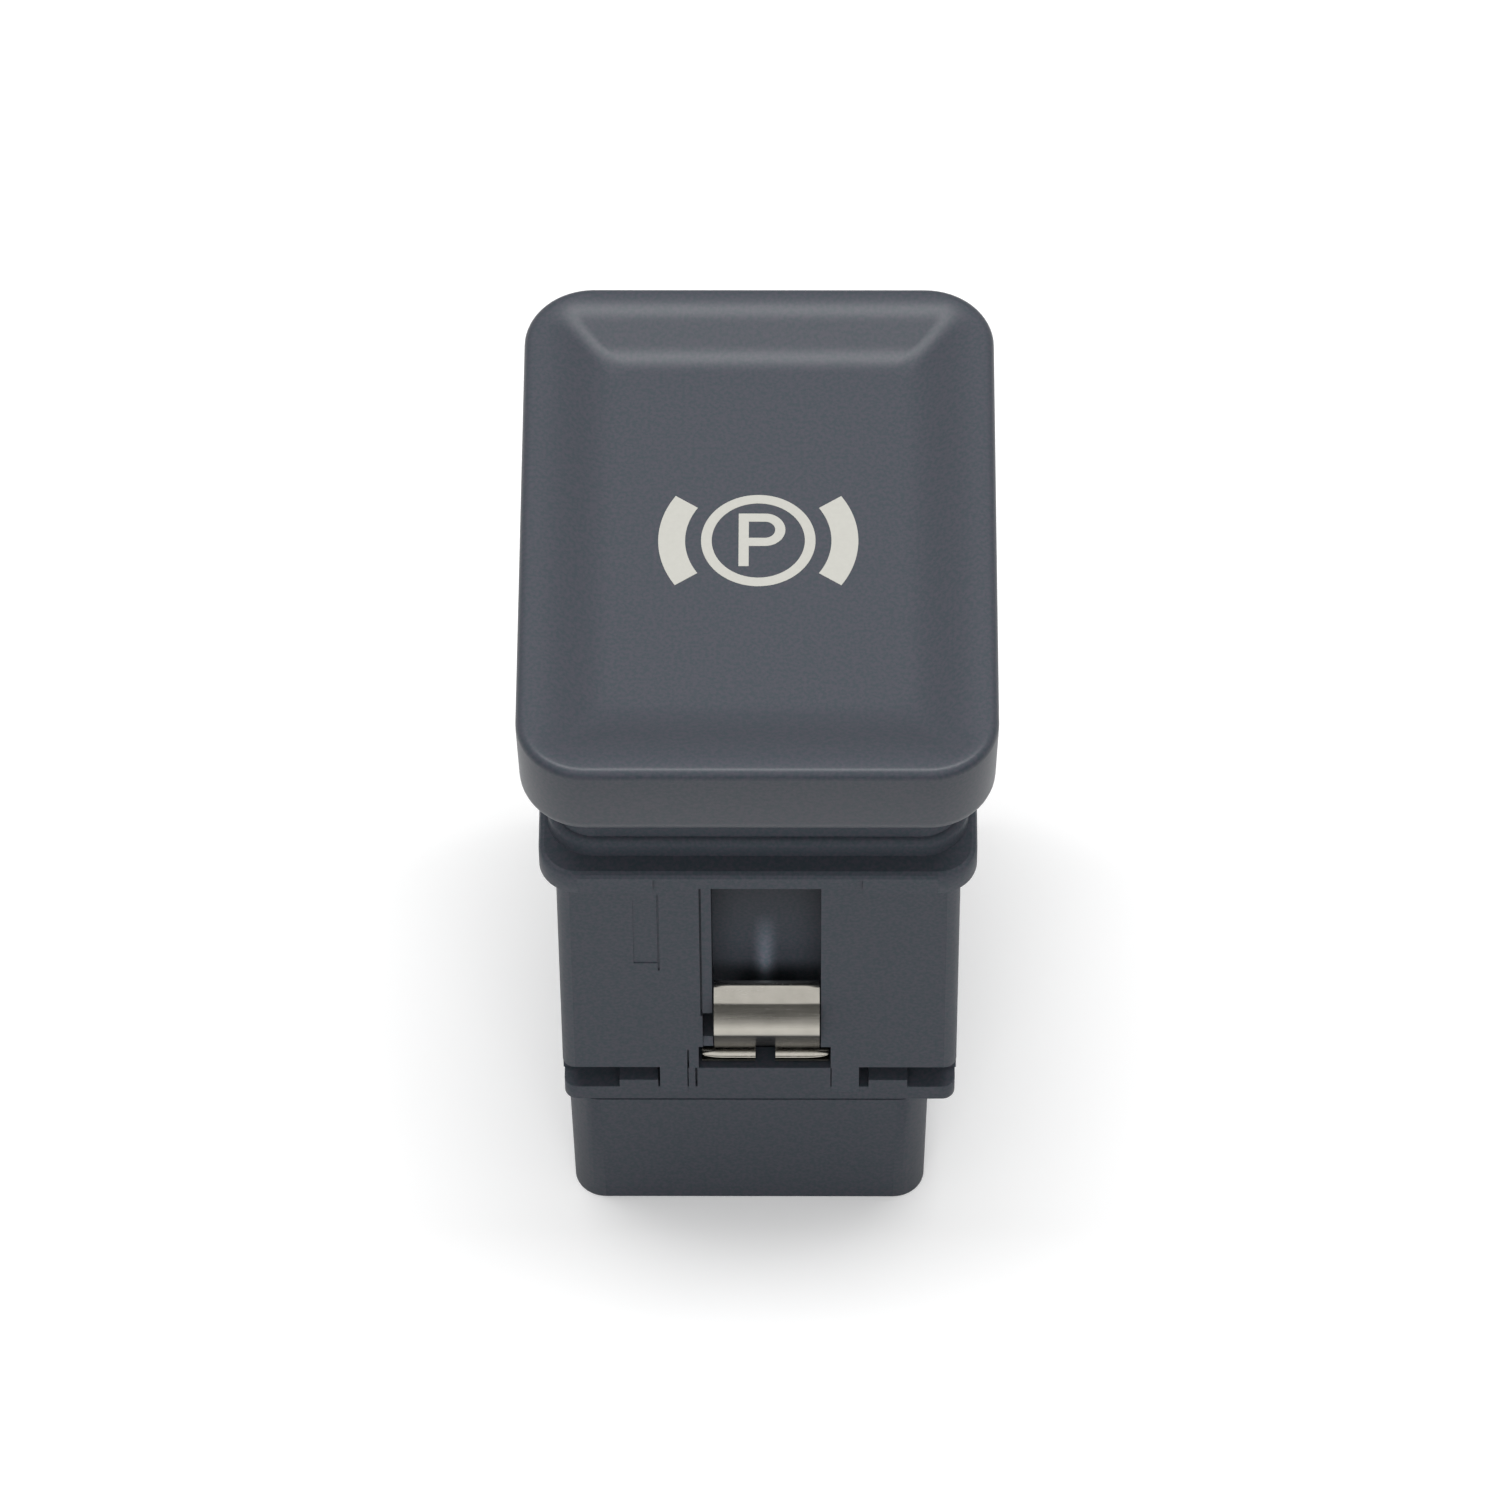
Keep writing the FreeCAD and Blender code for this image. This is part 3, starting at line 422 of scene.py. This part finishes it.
def soften(obj, width):
    """Join a carried-over piece's corners, and round its edges where a width is given."""
    weld = obj.modifiers.new("join_corners", "WELD")
    weld.merge_threshold = WELD_REACH
    if width:
        flats = obj.modifiers.new("flat_sides", "DECIMATE")
        flats.decimate_type = "DISSOLVE"
        flats.angle_limit = FLAT_WITHIN
        bevel = obj.modifiers.new("round_edges", "BEVEL")
        bevel.width = width
        bevel.segments = 2
        bevel.limit_method = "ANGLE"
        bevel.angle_limit = ROUND_ABOVE


print("pieces with rounded edges:", len(edge_round))

# %% Give every piece its finish
slot_of = {row["node"]: row["material_slot"] for row in frame["record"]["subparts"]}
for name, obj in nodes.items():
    obj.data.materials.clear()
    obj.data.materials.append(finishes[slot_of[name]])
    soften(obj, edge_round.get(name, 0))
print("dressed:", len(nodes))

# %% [markdown]
# The button cap
#
# The cap is one moulding: sides that curve in at the foot, a narrow rolled rim, and a dished face
# that falls to a flat panel. At the far end the fall is straight, with a tight roll at its top and
# foot, and the two rolls catch the light as two lines. At the sides and near end it is one soft
# wave. A subdivided box could give the soft forms, but it would round the mitred corners away. The
# cap can be drawn as rings instead, one above another, each a rectangle with round corners and the
# same number of points, so that neighbouring rings join into clean four-sided faces. The four snap
# hooks below the face are plain boxes, because only a view from underneath shows them.

# %% Rings of a rectangle with round corners
CORNER_POINTS = 16


def ring(x, low_y, high_y, radius, z):
    """A rectangle with round corners, as points that always start at the same corner."""
    points = []
    for cx, cy, start in ((x, low_y, -90), (x, high_y, 0), (-x, high_y, 90), (-x, low_y, 180)):
        inner_y = cy + (radius if cy == low_y else -radius)
        inner = Vector((cx - math.copysign(radius, cx), inner_y, z))
        for step in range(CORNER_POINTS + 1):
            turn = math.radians(start + 90 * step / CORNER_POINTS)
            points.append(inner + radius * Vector((math.cos(turn), math.sin(turn), 0)))
    return points


def quarter(radius, steps=8):
    """Insets and rises of a rolled edge, from flat to upright."""
    turns = [math.pi / 2 * step / steps for step in range(steps + 1)]
    return [(radius * (1 - math.sin(turn)), radius * (1 - math.cos(turn))) for turn in turns]


print("points in a ring:", 4 * (CORNER_POINTS + 1))

# %% Sides and rolled edges of the cap
CAP_CORNER = 4.25 * MM
FOOT_ROLL = 1.4 * MM
RIM_ROLL = 0.6 * MM
SIDE_DRAFT = math.radians(1.6)
cap_low, cap_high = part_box("button_cap")
cap_size = cap_high - cap_low


def inset_ring(inset, z):
    """A ring of the cap's outline, moved in by an inset."""
    y = cap_size.y / 2 - inset
    return ring(cap_size.x / 2 - inset, -y, y, CAP_CORNER - inset, z)


side_lean = (cap_size.z - FOOT_ROLL - RIM_ROLL) * math.tan(SIDE_DRAFT)
outside = [inset_ring(side_lean + inset, cap_low.z + rise) for inset, rise in quarter(FOOT_ROLL)]
outside += [inset_ring(inset, cap_high.z - rise) for inset, rise in reversed(quarter(RIM_ROLL))]
print("outer rings:", len(outside))

# %% Rings of the dished face
DISH_DEPTH = 1.6 * MM
DISH_STEPS = 24
DISH_ROLL_SHARE = 0.36
CREST = 0.9 * MM
FAR_CREST = 0.65 * MM
SIDE_RUN = 4.9 * MM
NEAR_RUN = 5.4 * MM
FAR_RUN = 4.95 * MM
PANEL_CORNER = 0.9 * MM
CREST_CORNER_EXTRA = 2.2 * MM


def fall(share):
    """How far down the dish is at a share of the far slope: straight, with rolled ends."""
    steep = 1 / (1 - DISH_ROLL_SHARE)
    if share < DISH_ROLL_SHARE:
        return steep * share * share / (2 * DISH_ROLL_SHARE)
    if share > 1 - DISH_ROLL_SHARE:
        return 1 - steep * (1 - share) ** 2 / (2 * DISH_ROLL_SHARE)
    return steep * (share - DISH_ROLL_SHARE / 2)


def dish_ring(share):
    """A level line of the dish. The near and side slopes fall as a soft wave."""
    down = fall(share)
    soft = math.acos(1 - 2 * down) / math.pi
    x = cap_size.x / 2 - CREST - SIDE_RUN * soft
    low_y = -cap_size.y / 2 + CREST + NEAR_RUN * soft
    high_y = cap_size.y / 2 - FAR_CREST - FAR_RUN * share
    corner = PANEL_CORNER + CREST_CORNER_EXTRA * (1 - share) ** 5
    return ring(x, low_y, high_y, corner, cap_high.z - DISH_DEPTH * down)


face = [dish_ring(step / DISH_STEPS) for step in range(DISH_STEPS + 1)]
panel_z = face[-1][0].z
print("rings of the dish:", len(face), " panel height in mm:", round(panel_z / MM, 2))

# %% Skins and plain boxes


def skin(bm, rings, close_ends=True):
    """Join rings of points with four-sided faces, and close the first and last one."""
    rows = [[bm.verts.new(point) for point in points] for points in rings]
    for lower, upper in zip(rows, rows[1:]):
        for i in range(len(lower)):
            k = (i + 1) % len(lower)
            bm.faces.new((lower[i], lower[k], upper[k], upper[i]))
    if close_ends:
        bm.faces.new(rows[0])
        bm.faces.new(rows[-1])


def box_in(bm, low, high):
    """A plain box between two corners, added to a mesh."""
    size = Vector(high) - Vector(low)
    for vert in bmesh.ops.create_cube(bm, size=1)["verts"]:
        vert.co = Vector(low) + Vector([(c + 0.5) * s for c, s in zip(vert.co, size)])


print("mesh steps ready")

# %% Snap hooks under the cap
CAP_WALL = 1.75 * MM
FACE_WALL = 1.3 * MM
HOOK_PLACE = (8.2 * MM, 10.4 * MM)
HOOK_HALF_THICK = 0.55 * MM
HOOK_HALF_LONG = 1.3 * MM
HOOK_DROP = 2.6 * MM
HOOK_ROOT = 0.2 * MM
TOOTH_REACH = 1.1 * MM
TOOTH_DROP = 1.7 * MM
underside_z = panel_z - FACE_WALL


def add_hook(bm, side, end):
    """One hook that snaps onto the plunger, with its tooth facing outwards."""
    x, y = side * HOOK_PLACE[0], end * HOOK_PLACE[1]
    low_y, high_y = y - HOOK_HALF_LONG, y + HOOK_HALF_LONG
    bottom = underside_z - HOOK_DROP
    box_in(bm, (x - HOOK_HALF_THICK, low_y, bottom),
           (x + HOOK_HALF_THICK, high_y, underside_z + HOOK_ROOT))
    low_x, high_x = sorted((x, x + side * TOOTH_REACH))
    box_in(bm, (low_x, low_y, bottom), (high_x, high_y, underside_z - TOOTH_DROP))


print("face thickness in mm:", round(FACE_WALL / MM, 2))

# %% The cap as one closed shell
INNER_CORNER = 2.5 * MM
inner_x = cap_size.x / 2 - CAP_WALL
inner_y = cap_size.y / 2 - CAP_WALL
inside = [ring(inner_x, -inner_y, inner_y, INNER_CORNER, z) for z in (underside_z, cap_low.z)]
bm = bmesh.new()
skin(bm, inside + outside + face)
for side in (-1, 1):
    for end in (-1, 1):
        add_hook(bm, side, end)
cap_shell = mesh_object("cap_shell", bm, smooth_below=35)
cap_shell.data.materials.append(cap_finish)
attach(cap_shell, "button")
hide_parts("button_cap")
print("cap faces:", len(cap_shell.data.polygons))

# %% [markdown]
# The step of the collar
#
# Where the collar rises out of the flange it has a low step, and its rounded top catches a soft
# line of light under the cap. A bevel could draw the rounded top but not the step itself. So it is
# a band of its own round the collar: rings go up its outside, over a quarter circle and down
# inside the collar's wall, and the last ring is joined to the first.

# %% Collar step
COLLAR_HALF = Vector((12.4 * MM, 15.6 * MM))
COLLAR_CORNER = 2.5 * MM
STEP_OUT = 0.45 * MM
STEP_IN = -0.3 * MM
STEP_FOOT = 38.45 * MM
STEP_WALL = 1.0 * MM


def collar_ring(out, z):
    """A level ring round the collar, moved out by a distance."""
    y = COLLAR_HALF.y + out
    return ring(COLLAR_HALF.x + out, -y, y, COLLAR_CORNER + out, z)


step_top = STEP_FOOT + STEP_WALL + STEP_OUT
step_rings = [collar_ring(STEP_OUT, STEP_FOOT)]
for inset, rise in reversed(quarter(STEP_OUT)):
    step_rings.append(collar_ring(STEP_OUT - inset, step_top - rise))
step_rings += [collar_ring(STEP_IN, step_top), collar_ring(STEP_IN, STEP_FOOT), step_rings[0]]
bm = bmesh.new()
skin(bm, step_rings, close_ends=False)
bmesh.ops.remove_doubles(bm, verts=bm.verts, dist=WELD_REACH)
collar_step = mesh_object("collar_step", bm, smooth_below=40)
collar_step.data.materials.append(housing_finish)
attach(collar_step, "base")
print("collar step faces:", len(collar_step.data.polygons))

# %% [markdown]
# The back of the clip's pocket
#
# Behind the clip, a stiffening rib runs up the back of the pocket and fades out into it. The CAD
# model has a plain square rib. A bump could only pretend the soft form, and it wouldn't show in
# the exported mesh. So a thin wall stands just in front of the pocket's back: level sections, one
# above another, whose middle swells more the lower they are. The rear pocket is the front one
# turned half round.

# %% A level section of the pocket's back
FRONT_WALL = -15.6 * MM
WALL_PLACE = FRONT_WALL + 3.02 * MM
WALL_THICK = 0.3 * MM
WALL_STEPS = 40
POCKET_SPAN = (-2.9 * MM, 3.85 * MM)
RIB_MIDDLE = 0.37 * MM
RIB_HALF = 0.95 * MM
RIB_SWELL = 0.5 * MM
RIB_TOP = 27.0 * MM
RIB_FADE = 6.5 * MM


def share_of(value, span):
    """How far along a span a value is, from 0 to 1."""
    return min(1, max(0, value / span))


def between(span, step, steps):
    """A place at a step of an evenly divided span."""
    return span[0] + (span[1] - span[0]) * step / steps


def on_side(end, x, y, z):
    """A point at the front (-1), or the same one turned half round to the rear (1)."""
    return Vector((-end * x, -end * y, z))


def rib_wave(x):
    """One in the middle of the rib and nothing beside it."""
    return 0.5 + 0.5 * math.cos(math.pi * share_of(abs(x - RIB_MIDDLE), RIB_HALF))


def wall_section(z, end):
    """A level cut through the wall: its face with the rib, and its flat back."""
    fade = share_of(RIB_TOP - z, RIB_FADE)
    swell = RIB_SWELL * fade * fade * (3 - 2 * fade)
    across = [between(POCKET_SPAN, step, WALL_STEPS) for step in range(WALL_STEPS + 1)]
    row = [(x, WALL_PLACE - swell * rib_wave(x)) for x in across]
    back = WALL_PLACE + WALL_THICK
    row += [(POCKET_SPAN[1], back), (POCKET_SPAN[0], back)]
    return [on_side(end, x, y, z) for x, y in row]


print("pocket width in mm:", round((POCKET_SPAN[1] - POCKET_SPAN[0]) / MM, 2))

# %% The pocket's painted shade and light, and its small ledge
DEEP_PAINTED_SHADE = 0.17
LOW_PAINTED_LIGHT = 0.33
RIB_PAINTED_LIGHT = 0.75
LOW_PAINTED_LIGHT_FADE = (31.0 * MM, 9.0 * MM)
RIB_PAINTED_LIGHT_FADE = (27.5 * MM, 4.5 * MM)
LEDGE_X = (-3.52 * MM, -2.9 * MM)
LEDGE_Y = (-14.9 * MM, -12.6 * MM)
LEDGE_Z = (16.2 * MM, 17.3 * MM)


def painted_wall_shading(x, z):
    """Painted light and shade: lighter low down and on the rib, for light that the bright clip
    throws on the wall.
    """
    low = share_of(LOW_PAINTED_LIGHT_FADE[0] - z, LOW_PAINTED_LIGHT_FADE[1])
    fade = share_of(RIB_PAINTED_LIGHT_FADE[0] - z, RIB_PAINTED_LIGHT_FADE[1])
    return DEEP_PAINTED_SHADE + LOW_PAINTED_LIGHT * low + RIB_PAINTED_LIGHT * fade * rib_wave(x)


def pocket_ledge(bm, end):
    """The small ledge that closes the pocket beside the clip's foot."""
    first, last = [on_side(end, LEDGE_X[i], LEDGE_Y[i], LEDGE_Z[i]) for i in (0, 1)]
    box_in(bm, [min(pair) for pair in zip(first, last)], [max(pair) for pair in zip(first, last)])


print("darkest and lightest tone:", DEEP_PAINTED_SHADE, DEEP_PAINTED_SHADE + LOW_PAINTED_LIGHT + RIB_PAINTED_LIGHT)

# %% Pocket backs
POCKET_HEIGHT = (17.3 * MM, 35.66 * MM)
for name, end in (("front_pocket_back", -1), ("rear_pocket_back", 1)):
    bm = bmesh.new()
    heights = [between(POCKET_HEIGHT, step, WALL_STEPS) for step in range(WALL_STEPS + 1)]
    skin(bm, [wall_section(z, end) for z in heights])
    pocket_ledge(bm, end)
    wall = mesh_object(name, bm, smooth_below=40)
    # Each point of the wall takes painted shade and light by its place.
    painted_shading = wall.data.attributes.new("painted_shading", "FLOAT_COLOR", "POINT")
    for vertex, value in zip(wall.data.vertices, painted_shading.data):
        painted_shade = painted_wall_shading(-end * vertex.co.x, vertex.co.z)
        value.color = (painted_shade, painted_shade, painted_shade, 1)
    wall.data.materials.append(pocket_painted_finish)
    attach(wall, "base")
    print(name, "faces:", len(wall.data.polygons))

# %% [markdown]
# The clip's lips
#
# At its foot the clip turns out into two lips that a fitter's blade can catch. They dip forward, so
# they mirror the bright tent, and their outer ends are rounded. A bevelled curve with a taper could
# draw them, but rings need no second object: each lip is a flat oval carried along the width, full
# at the slit, and shrinking along an ellipse at the outer end.

# %% Shape of a lip
LIP_MIDDLE = (-15.17 * MM, 15.74 * MM)
LIP_REACH = 0.25 * MM
LIP_THICKNESS = 0.07 * MM
LIP_DIP = math.radians(30)
LIP_STEPS = 32
LIP_CORNERS = 16
LIP_FULL_SHARE = 0.55
LIP_SMALLEST = 0.02


def lip_size(share):
    """How full the oval is along the lip."""
    past = max(0, (share - LIP_FULL_SHARE) / (1 - LIP_FULL_SHARE))
    return math.sqrt(max(LIP_SMALLEST ** 2, 1 - past ** 2))


def lip_oval(x, size, end):
    """The flat oval of the lip at one place across the clip."""
    points = []
    for corner in range(LIP_CORNERS):
        turn = 2 * math.pi * corner / LIP_CORNERS
        along = LIP_REACH * size * math.cos(turn)
        up = LIP_THICKNESS * size * math.sin(turn)
        y = LIP_MIDDLE[0] + along * math.cos(LIP_DIP) - up * math.sin(LIP_DIP)
        z = LIP_MIDDLE[1] + along * math.sin(LIP_DIP) + up * math.cos(LIP_DIP)
        points.append(on_side(end, x, y, z))
    return points


print("lip width in mm:", round(2 * LIP_REACH / MM, 2))

# %% Four lips
LIP_SPANS = {"left": (-0.25 * MM, -3.6 * MM), "right": (1.01 * MM, 4.36 * MM)}


def lip(name, span, end, body):
    """One lip from the slit outwards, with its rings closer together towards the end."""
    shares = [1 - (1 - step / LIP_STEPS) ** 2 for step in range(LIP_STEPS + 1)]
    bm = bmesh.new()
    skin(bm, [lip_oval(between(span, share, 1), lip_size(share), end) for share in shares])
    made = mesh_object(name, bm, smooth_below=50)
    made.data.materials.append(lip_finish)
    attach(made, body)


for side, span in LIP_SPANS.items():
    lip("front_" + side + "_lip", span, -1, "front_spring_clip")
    lip("rear_" + side + "_lip", span, 1, "rear_spring_clip")
print("lips:", 2 * len(LIP_SPANS))

# %% [markdown]
# The parking brake sign
#
# The sign is the common one for a parking brake: a letter P in a ring between two brake shoes. On
# the real button it is light plastic that shows through the paint, flush with the panel. It could
# be a text object or a picture, but no typeface has these shapes, and a picture blurs. A flat
# curve with holes draws such a form exactly, and a trace of thickness keeps it clear of the panel.

# %% Flat shapes for the sign
SIGN_MIDDLE = Vector((0.0, 0.1 * MM, panel_z))
SIGN_THICK = 0.02 * MM
SIGN_CLOUD = 3000.0
sign_finish = plain_finish("sign_white", (0.49, 0.485, 0.445), 0.5, 0.05, scale=SIGN_CLOUD)


def arc_points(radius, start, end, steps, middle=(0.0, 0.0)):
    """Points on an arc, in millimetres, from one angle to another in degrees."""
    turns = [math.radians(start + (end - start) * step / steps) for step in range(steps + 1)]
    return [(middle[0] + radius * math.cos(t), middle[1] + radius * math.sin(t)) for t in turns]


def flat_shape(name, outlines):
    """A thin plate with closed outlines, where an outline inside another is a hole."""
    curve = bpy.data.curves.new(name, "CURVE")
    curve.dimensions = "2D"
    curve.fill_mode = "BOTH"
    curve.extrude = SIGN_THICK
    for outline in outlines:
        line = curve.splines.new("POLY")
        line.points.add(len(outline) - 1)
        for point, (x, y) in zip(line.points, outline):
            point.co = (x * MM, y * MM, 0, 1)
        line.use_cyclic_u = True
    curve.materials.append(sign_finish)
    plate = bpy.data.objects.new(name, curve)
    plate.location = SIGN_MIDDLE
    bpy.context.scene.collection.objects.link(plate)
    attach(plate, "button")
    print(name, "outlines:", len(outlines))


# %% Ring and letter
RING_OUTSIDE, RING_INSIDE = 3.49, 2.84
flat_shape("sign_ring", [arc_points(r, 0, 360, 96)[:-1] for r in (RING_OUTSIDE, RING_INSIDE)])

left, right, foot, waist, head = -1.2, 1.65, -1.96, -0.42, 2.06
stroke = 0.62
bowl = (head - waist) / 2
bowl_middle = (right - bowl, head - bowl)
letter = [(left, foot), (left + stroke, foot), (left + stroke, waist), (bowl_middle[0], waist)]
letter += arc_points(bowl, -90, 90, 24, bowl_middle)[1:]
letter += [(left, head)]
hole = [(left + stroke, waist + stroke), (bowl_middle[0], waist + stroke)]
hole += arc_points(bowl - stroke, -90, 90, 20, bowl_middle)[1:]
hole += [(left + stroke, head - stroke)]
flat_shape("sign_letter", [letter, hole])

# %% Brake shoes
SHOE_OUTSIDE, SHOE_INSIDE = 6.1, 4.46
SHOE_HALF_TURN = 34
for name, turn in (("sign_right_shoe", 0), ("sign_left_shoe", 180)):
    shoe = arc_points(SHOE_OUTSIDE, turn - SHOE_HALF_TURN, turn + SHOE_HALF_TURN, 32)
    shoe += arc_points(SHOE_INSIDE, turn + SHOE_HALF_TURN, turn - SHOE_HALF_TURN, 32)
    flat_shape(name, [shoe])

# %% [markdown]
# Return springs
#
# Two coil springs push the button up. The CAD model draws their wire with flat sides, to stay
# light. Here the wire is round. A Screw modifier could wind it, but not with end turns that lie
# flat as on a real spring, so a small circle is carried along a helix whose rise stops at both
# ends. When the button goes down, the coil shortens towards its lower end.

# %% A ring of the wire
WIRE = 0.25 * MM
WIRE_CORNERS = 10
TURNS = 5
FLAT_TURNS = 0.75
STEPS_PER_TURN = 32
UP = Vector((0, 0, 1))


def wire_ring(low, high, turn):
    """The circle of the wire after a number of turns, inside the spring's box."""
    z_span = high.z - low.z - 2 * WIRE
    z = low.z + WIRE + z_span * share_of(turn - FLAT_TURNS, TURNS - 2 * FLAT_TURNS)
    out = Vector((math.cos(2 * math.pi * turn), math.sin(2 * math.pi * turn), 0))
    middle = Vector((0, (low.y + high.y) / 2, z))
    centre = middle + ((high.x - low.x) / 2 - WIRE) * out
    angles = [2 * math.pi * corner / WIRE_CORNERS for corner in range(WIRE_CORNERS)]
    return [centre + WIRE * (math.cos(angle) * out + math.sin(angle) * UP) for angle in angles]


print("wire in mm:", round(2 * WIRE / MM, 2))


def coil(name, node):
    """A round-wire coil spring in the place of a CAD one."""
    low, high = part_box(node)
    turns = [step / STEPS_PER_TURN for step in range(TURNS * STEPS_PER_TURN + 1)]
    bm = bmesh.new()
    skin(bm, [wire_ring(low, high, turn) for turn in turns])
    spring = mesh_object(name, bm, smooth_below=50)
    spring.data.materials.append(wire_finish)
    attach(spring, "base")
    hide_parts(node)
    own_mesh(spring)
    print(name, "faces:", len(spring.data.polygons))


coil("front_coil", "front_return_spring")
coil("rear_coil", "rear_return_spring")

# %% [markdown]
# The studio
#
# The switch stands on a white sweep inside a light tent. A picture of a real studio could light
# it, but its tones would be fixed, and here each part has one job. The sweep is white to the eye,
# with a little light of its own, and grey as a source, so that the gaps under the flange stay
# dark. A strip lamp overhead, slightly behind, draws the two bright lines of the dished face. A
# wide, weak lamp in front looks into the gaps, and is kept out of reflections, where it would
# bleach the clip.

# %% Floor
SWEEP_WHITE = (0.93, 0.93, 0.93, 1)
SWEEP_BOUNCE = (0.42, 0.42, 0.42, 1)
SWEEP_LIFT = 0.14
SWEEP_HALF = 3.0
SWEEP_DROP = 0.02 * MM


def sweep_finish():
    """White to the eye and in reflections, and grey as a source of light, with its shadow kept."""
    material, tree, shader = new_material("white_sweep")
    shader.inputs["Roughness"].default_value = 0.9
    shader.inputs["Specular IOR Level"].default_value = 0.0
    shader.inputs["Emission Color"].default_value = (1, 1, 1, 1)
    path = add(tree, "LightPath")
    lit = add(tree, "Mix", data_type="RGBA")
    lit.inputs[MIX_A].default_value = SWEEP_WHITE
    lit.inputs[MIX_B].default_value = SWEEP_BOUNCE
    join(tree, path, "Is Diffuse Ray", lit, MIX_FACTOR)
    join(tree, lit, MIX_RESULT, shader, "Base Color")
    lift = add(tree, "Math", operation="MULTIPLY")
    join(tree, path, "Is Camera Ray", lift, 0)
    lift.inputs[1].default_value = SWEEP_LIFT
    join(tree, lift, 0, shader, "Emission Strength")
    return material


bm = bmesh.new()
bmesh.ops.create_grid(bm, x_segments=1, y_segments=1, size=SWEEP_HALF)
floor = mesh_object("floor", bm)
floor.location.z = -SWEEP_DROP
floor.data.materials.append(sweep_finish())
print("floor width in metres:", 2 * SWEEP_HALF)

# %% Lamps
LAMP_AIM = (0, 0, 0.03)
STRIP_SIZE = (0.8, 0.2)
STRIP_PLACE = (0, 0.07, 0.8)
STRIP_WATTS = 4.85
FILL_SIZE = (0.9, 0.6)
FILL_ELEVATION = math.radians(27)
FILL_DISTANCE = 0.95
FILL_WATTS = 3.2


def soft_lamp(name, size, place, watts, mirrored=True):
    """A rectangular lamp that faces the switch, and may be kept out of reflections."""
    data = bpy.data.lights.new(name, "AREA")
    data.shape = "RECTANGLE"
    data.size, data.size_y = size
    data.energy = watts
    lamp = bpy.data.objects.new(name, data)
    lamp.location = place
    lamp.rotation_euler = (Vector(LAMP_AIM) - Vector(place)).to_track_quat("-Z", "Y").to_euler()
    lamp.visible_glossy = mirrored
    bpy.context.scene.collection.objects.link(lamp)
    print(name, "lamp in watts:", watts)


soft_lamp("strip", STRIP_SIZE, STRIP_PLACE, STRIP_WATTS)
fill_back, fill_rise = math.cos(FILL_ELEVATION), math.sin(FILL_ELEVATION)
fill_place = (0, -FILL_DISTANCE * fill_back, FILL_DISTANCE * fill_rise)
soft_lamp("fill", FILL_SIZE, fill_place, FILL_WATTS, mirrored=False)

# %% [markdown]
# The dark card and the tent
#
# Bent metal only looks like metal when it mirrors something dark as well as something bright. A
# dark object in view would do it, but it would also show and cast a shadow. So a low, dark card
# stands round the front, and only reflections see it. The tent is the world: brightest overhead,
# dimmer towards the horizon, and half as strong for what it lights as for what mirrors it.

# %% Dark card
CARD_RADIUS = 0.26
CARD_HEIGHT = 0.19
CARD_HALF_TURN = 75
CARD_STEPS = 24
CARD_GREY = (0.1, 0.1, 0.1, 1)
bm = bmesh.new()
lower = []
for step in range(CARD_STEPS + 1):
    turn = math.radians(-90 - CARD_HALF_TURN + 2 * CARD_HALF_TURN * step / CARD_STEPS)
    lower.append(bm.verts.new((CARD_RADIUS * math.cos(turn), CARD_RADIUS * math.sin(turn), 0)))
upper = [bm.verts.new(vert.co + Vector((0, 0, CARD_HEIGHT))) for vert in lower]
for i in range(CARD_STEPS):
    bm.faces.new((lower[i], lower[i + 1], upper[i + 1], upper[i]))
dark_card = mesh_object("dark_card", bm)
card_finish = new_material("black_card")[0]
card_finish.node_tree.nodes["Principled BSDF"].inputs["Base Color"].default_value = CARD_GREY
dark_card.data.materials.append(card_finish)
dark_card.visible_camera = False
dark_card.visible_diffuse = False
dark_card.visible_shadow = False
print("card faces:", len(dark_card.data.polygons))

# %% Tent
LIT_LEVEL = 0.5
MIRRORED_LEVEL = 1.0
HORIZON_SHARE = 0.45
FULL_ABOVE = 0.85
world = bpy.data.worlds.new("studio")
world.use_nodes = True
bpy.context.scene.world = world
sky = world.node_tree
path = add(sky, "LightPath")
mirrored = add(sky, "Math", operation="MAXIMUM")
join(sky, path, "Is Glossy Ray", mirrored, 0)
join(sky, path, "Is Transmission Ray", mirrored, 1)
level = add(sky, "MapRange", To_Min=LIT_LEVEL, To_Max=MIRRORED_LEVEL)
join(sky, mirrored, 0, level, "Value")
way = add(sky, "SeparateXYZ")
join(sky, add(sky, "TexCoord"), "Generated", way, "Vector")
height = add(sky, "MapRange", From_Max=FULL_ABOVE, To_Min=HORIZON_SHARE)
join(sky, way, "Z", height, "Value")
tent = add(sky, "Math", operation="MULTIPLY")
join(sky, level, "Result", tent, 0)
join(sky, height, "Result", tent, 1)
strength = add(sky, "Math", operation="MAXIMUM")
join(sky, tent, 0, strength, 0)
join(sky, path, "Is Camera Ray", strength, 1)
background = sky.nodes["Background"]
background.inputs["Color"].default_value = (1, 1, 1, 1)
join(sky, strength, 0, background, "Strength")
bpy.context.scene.view_settings.view_transform = "Standard"
print("tent nodes:", len(sky.nodes))
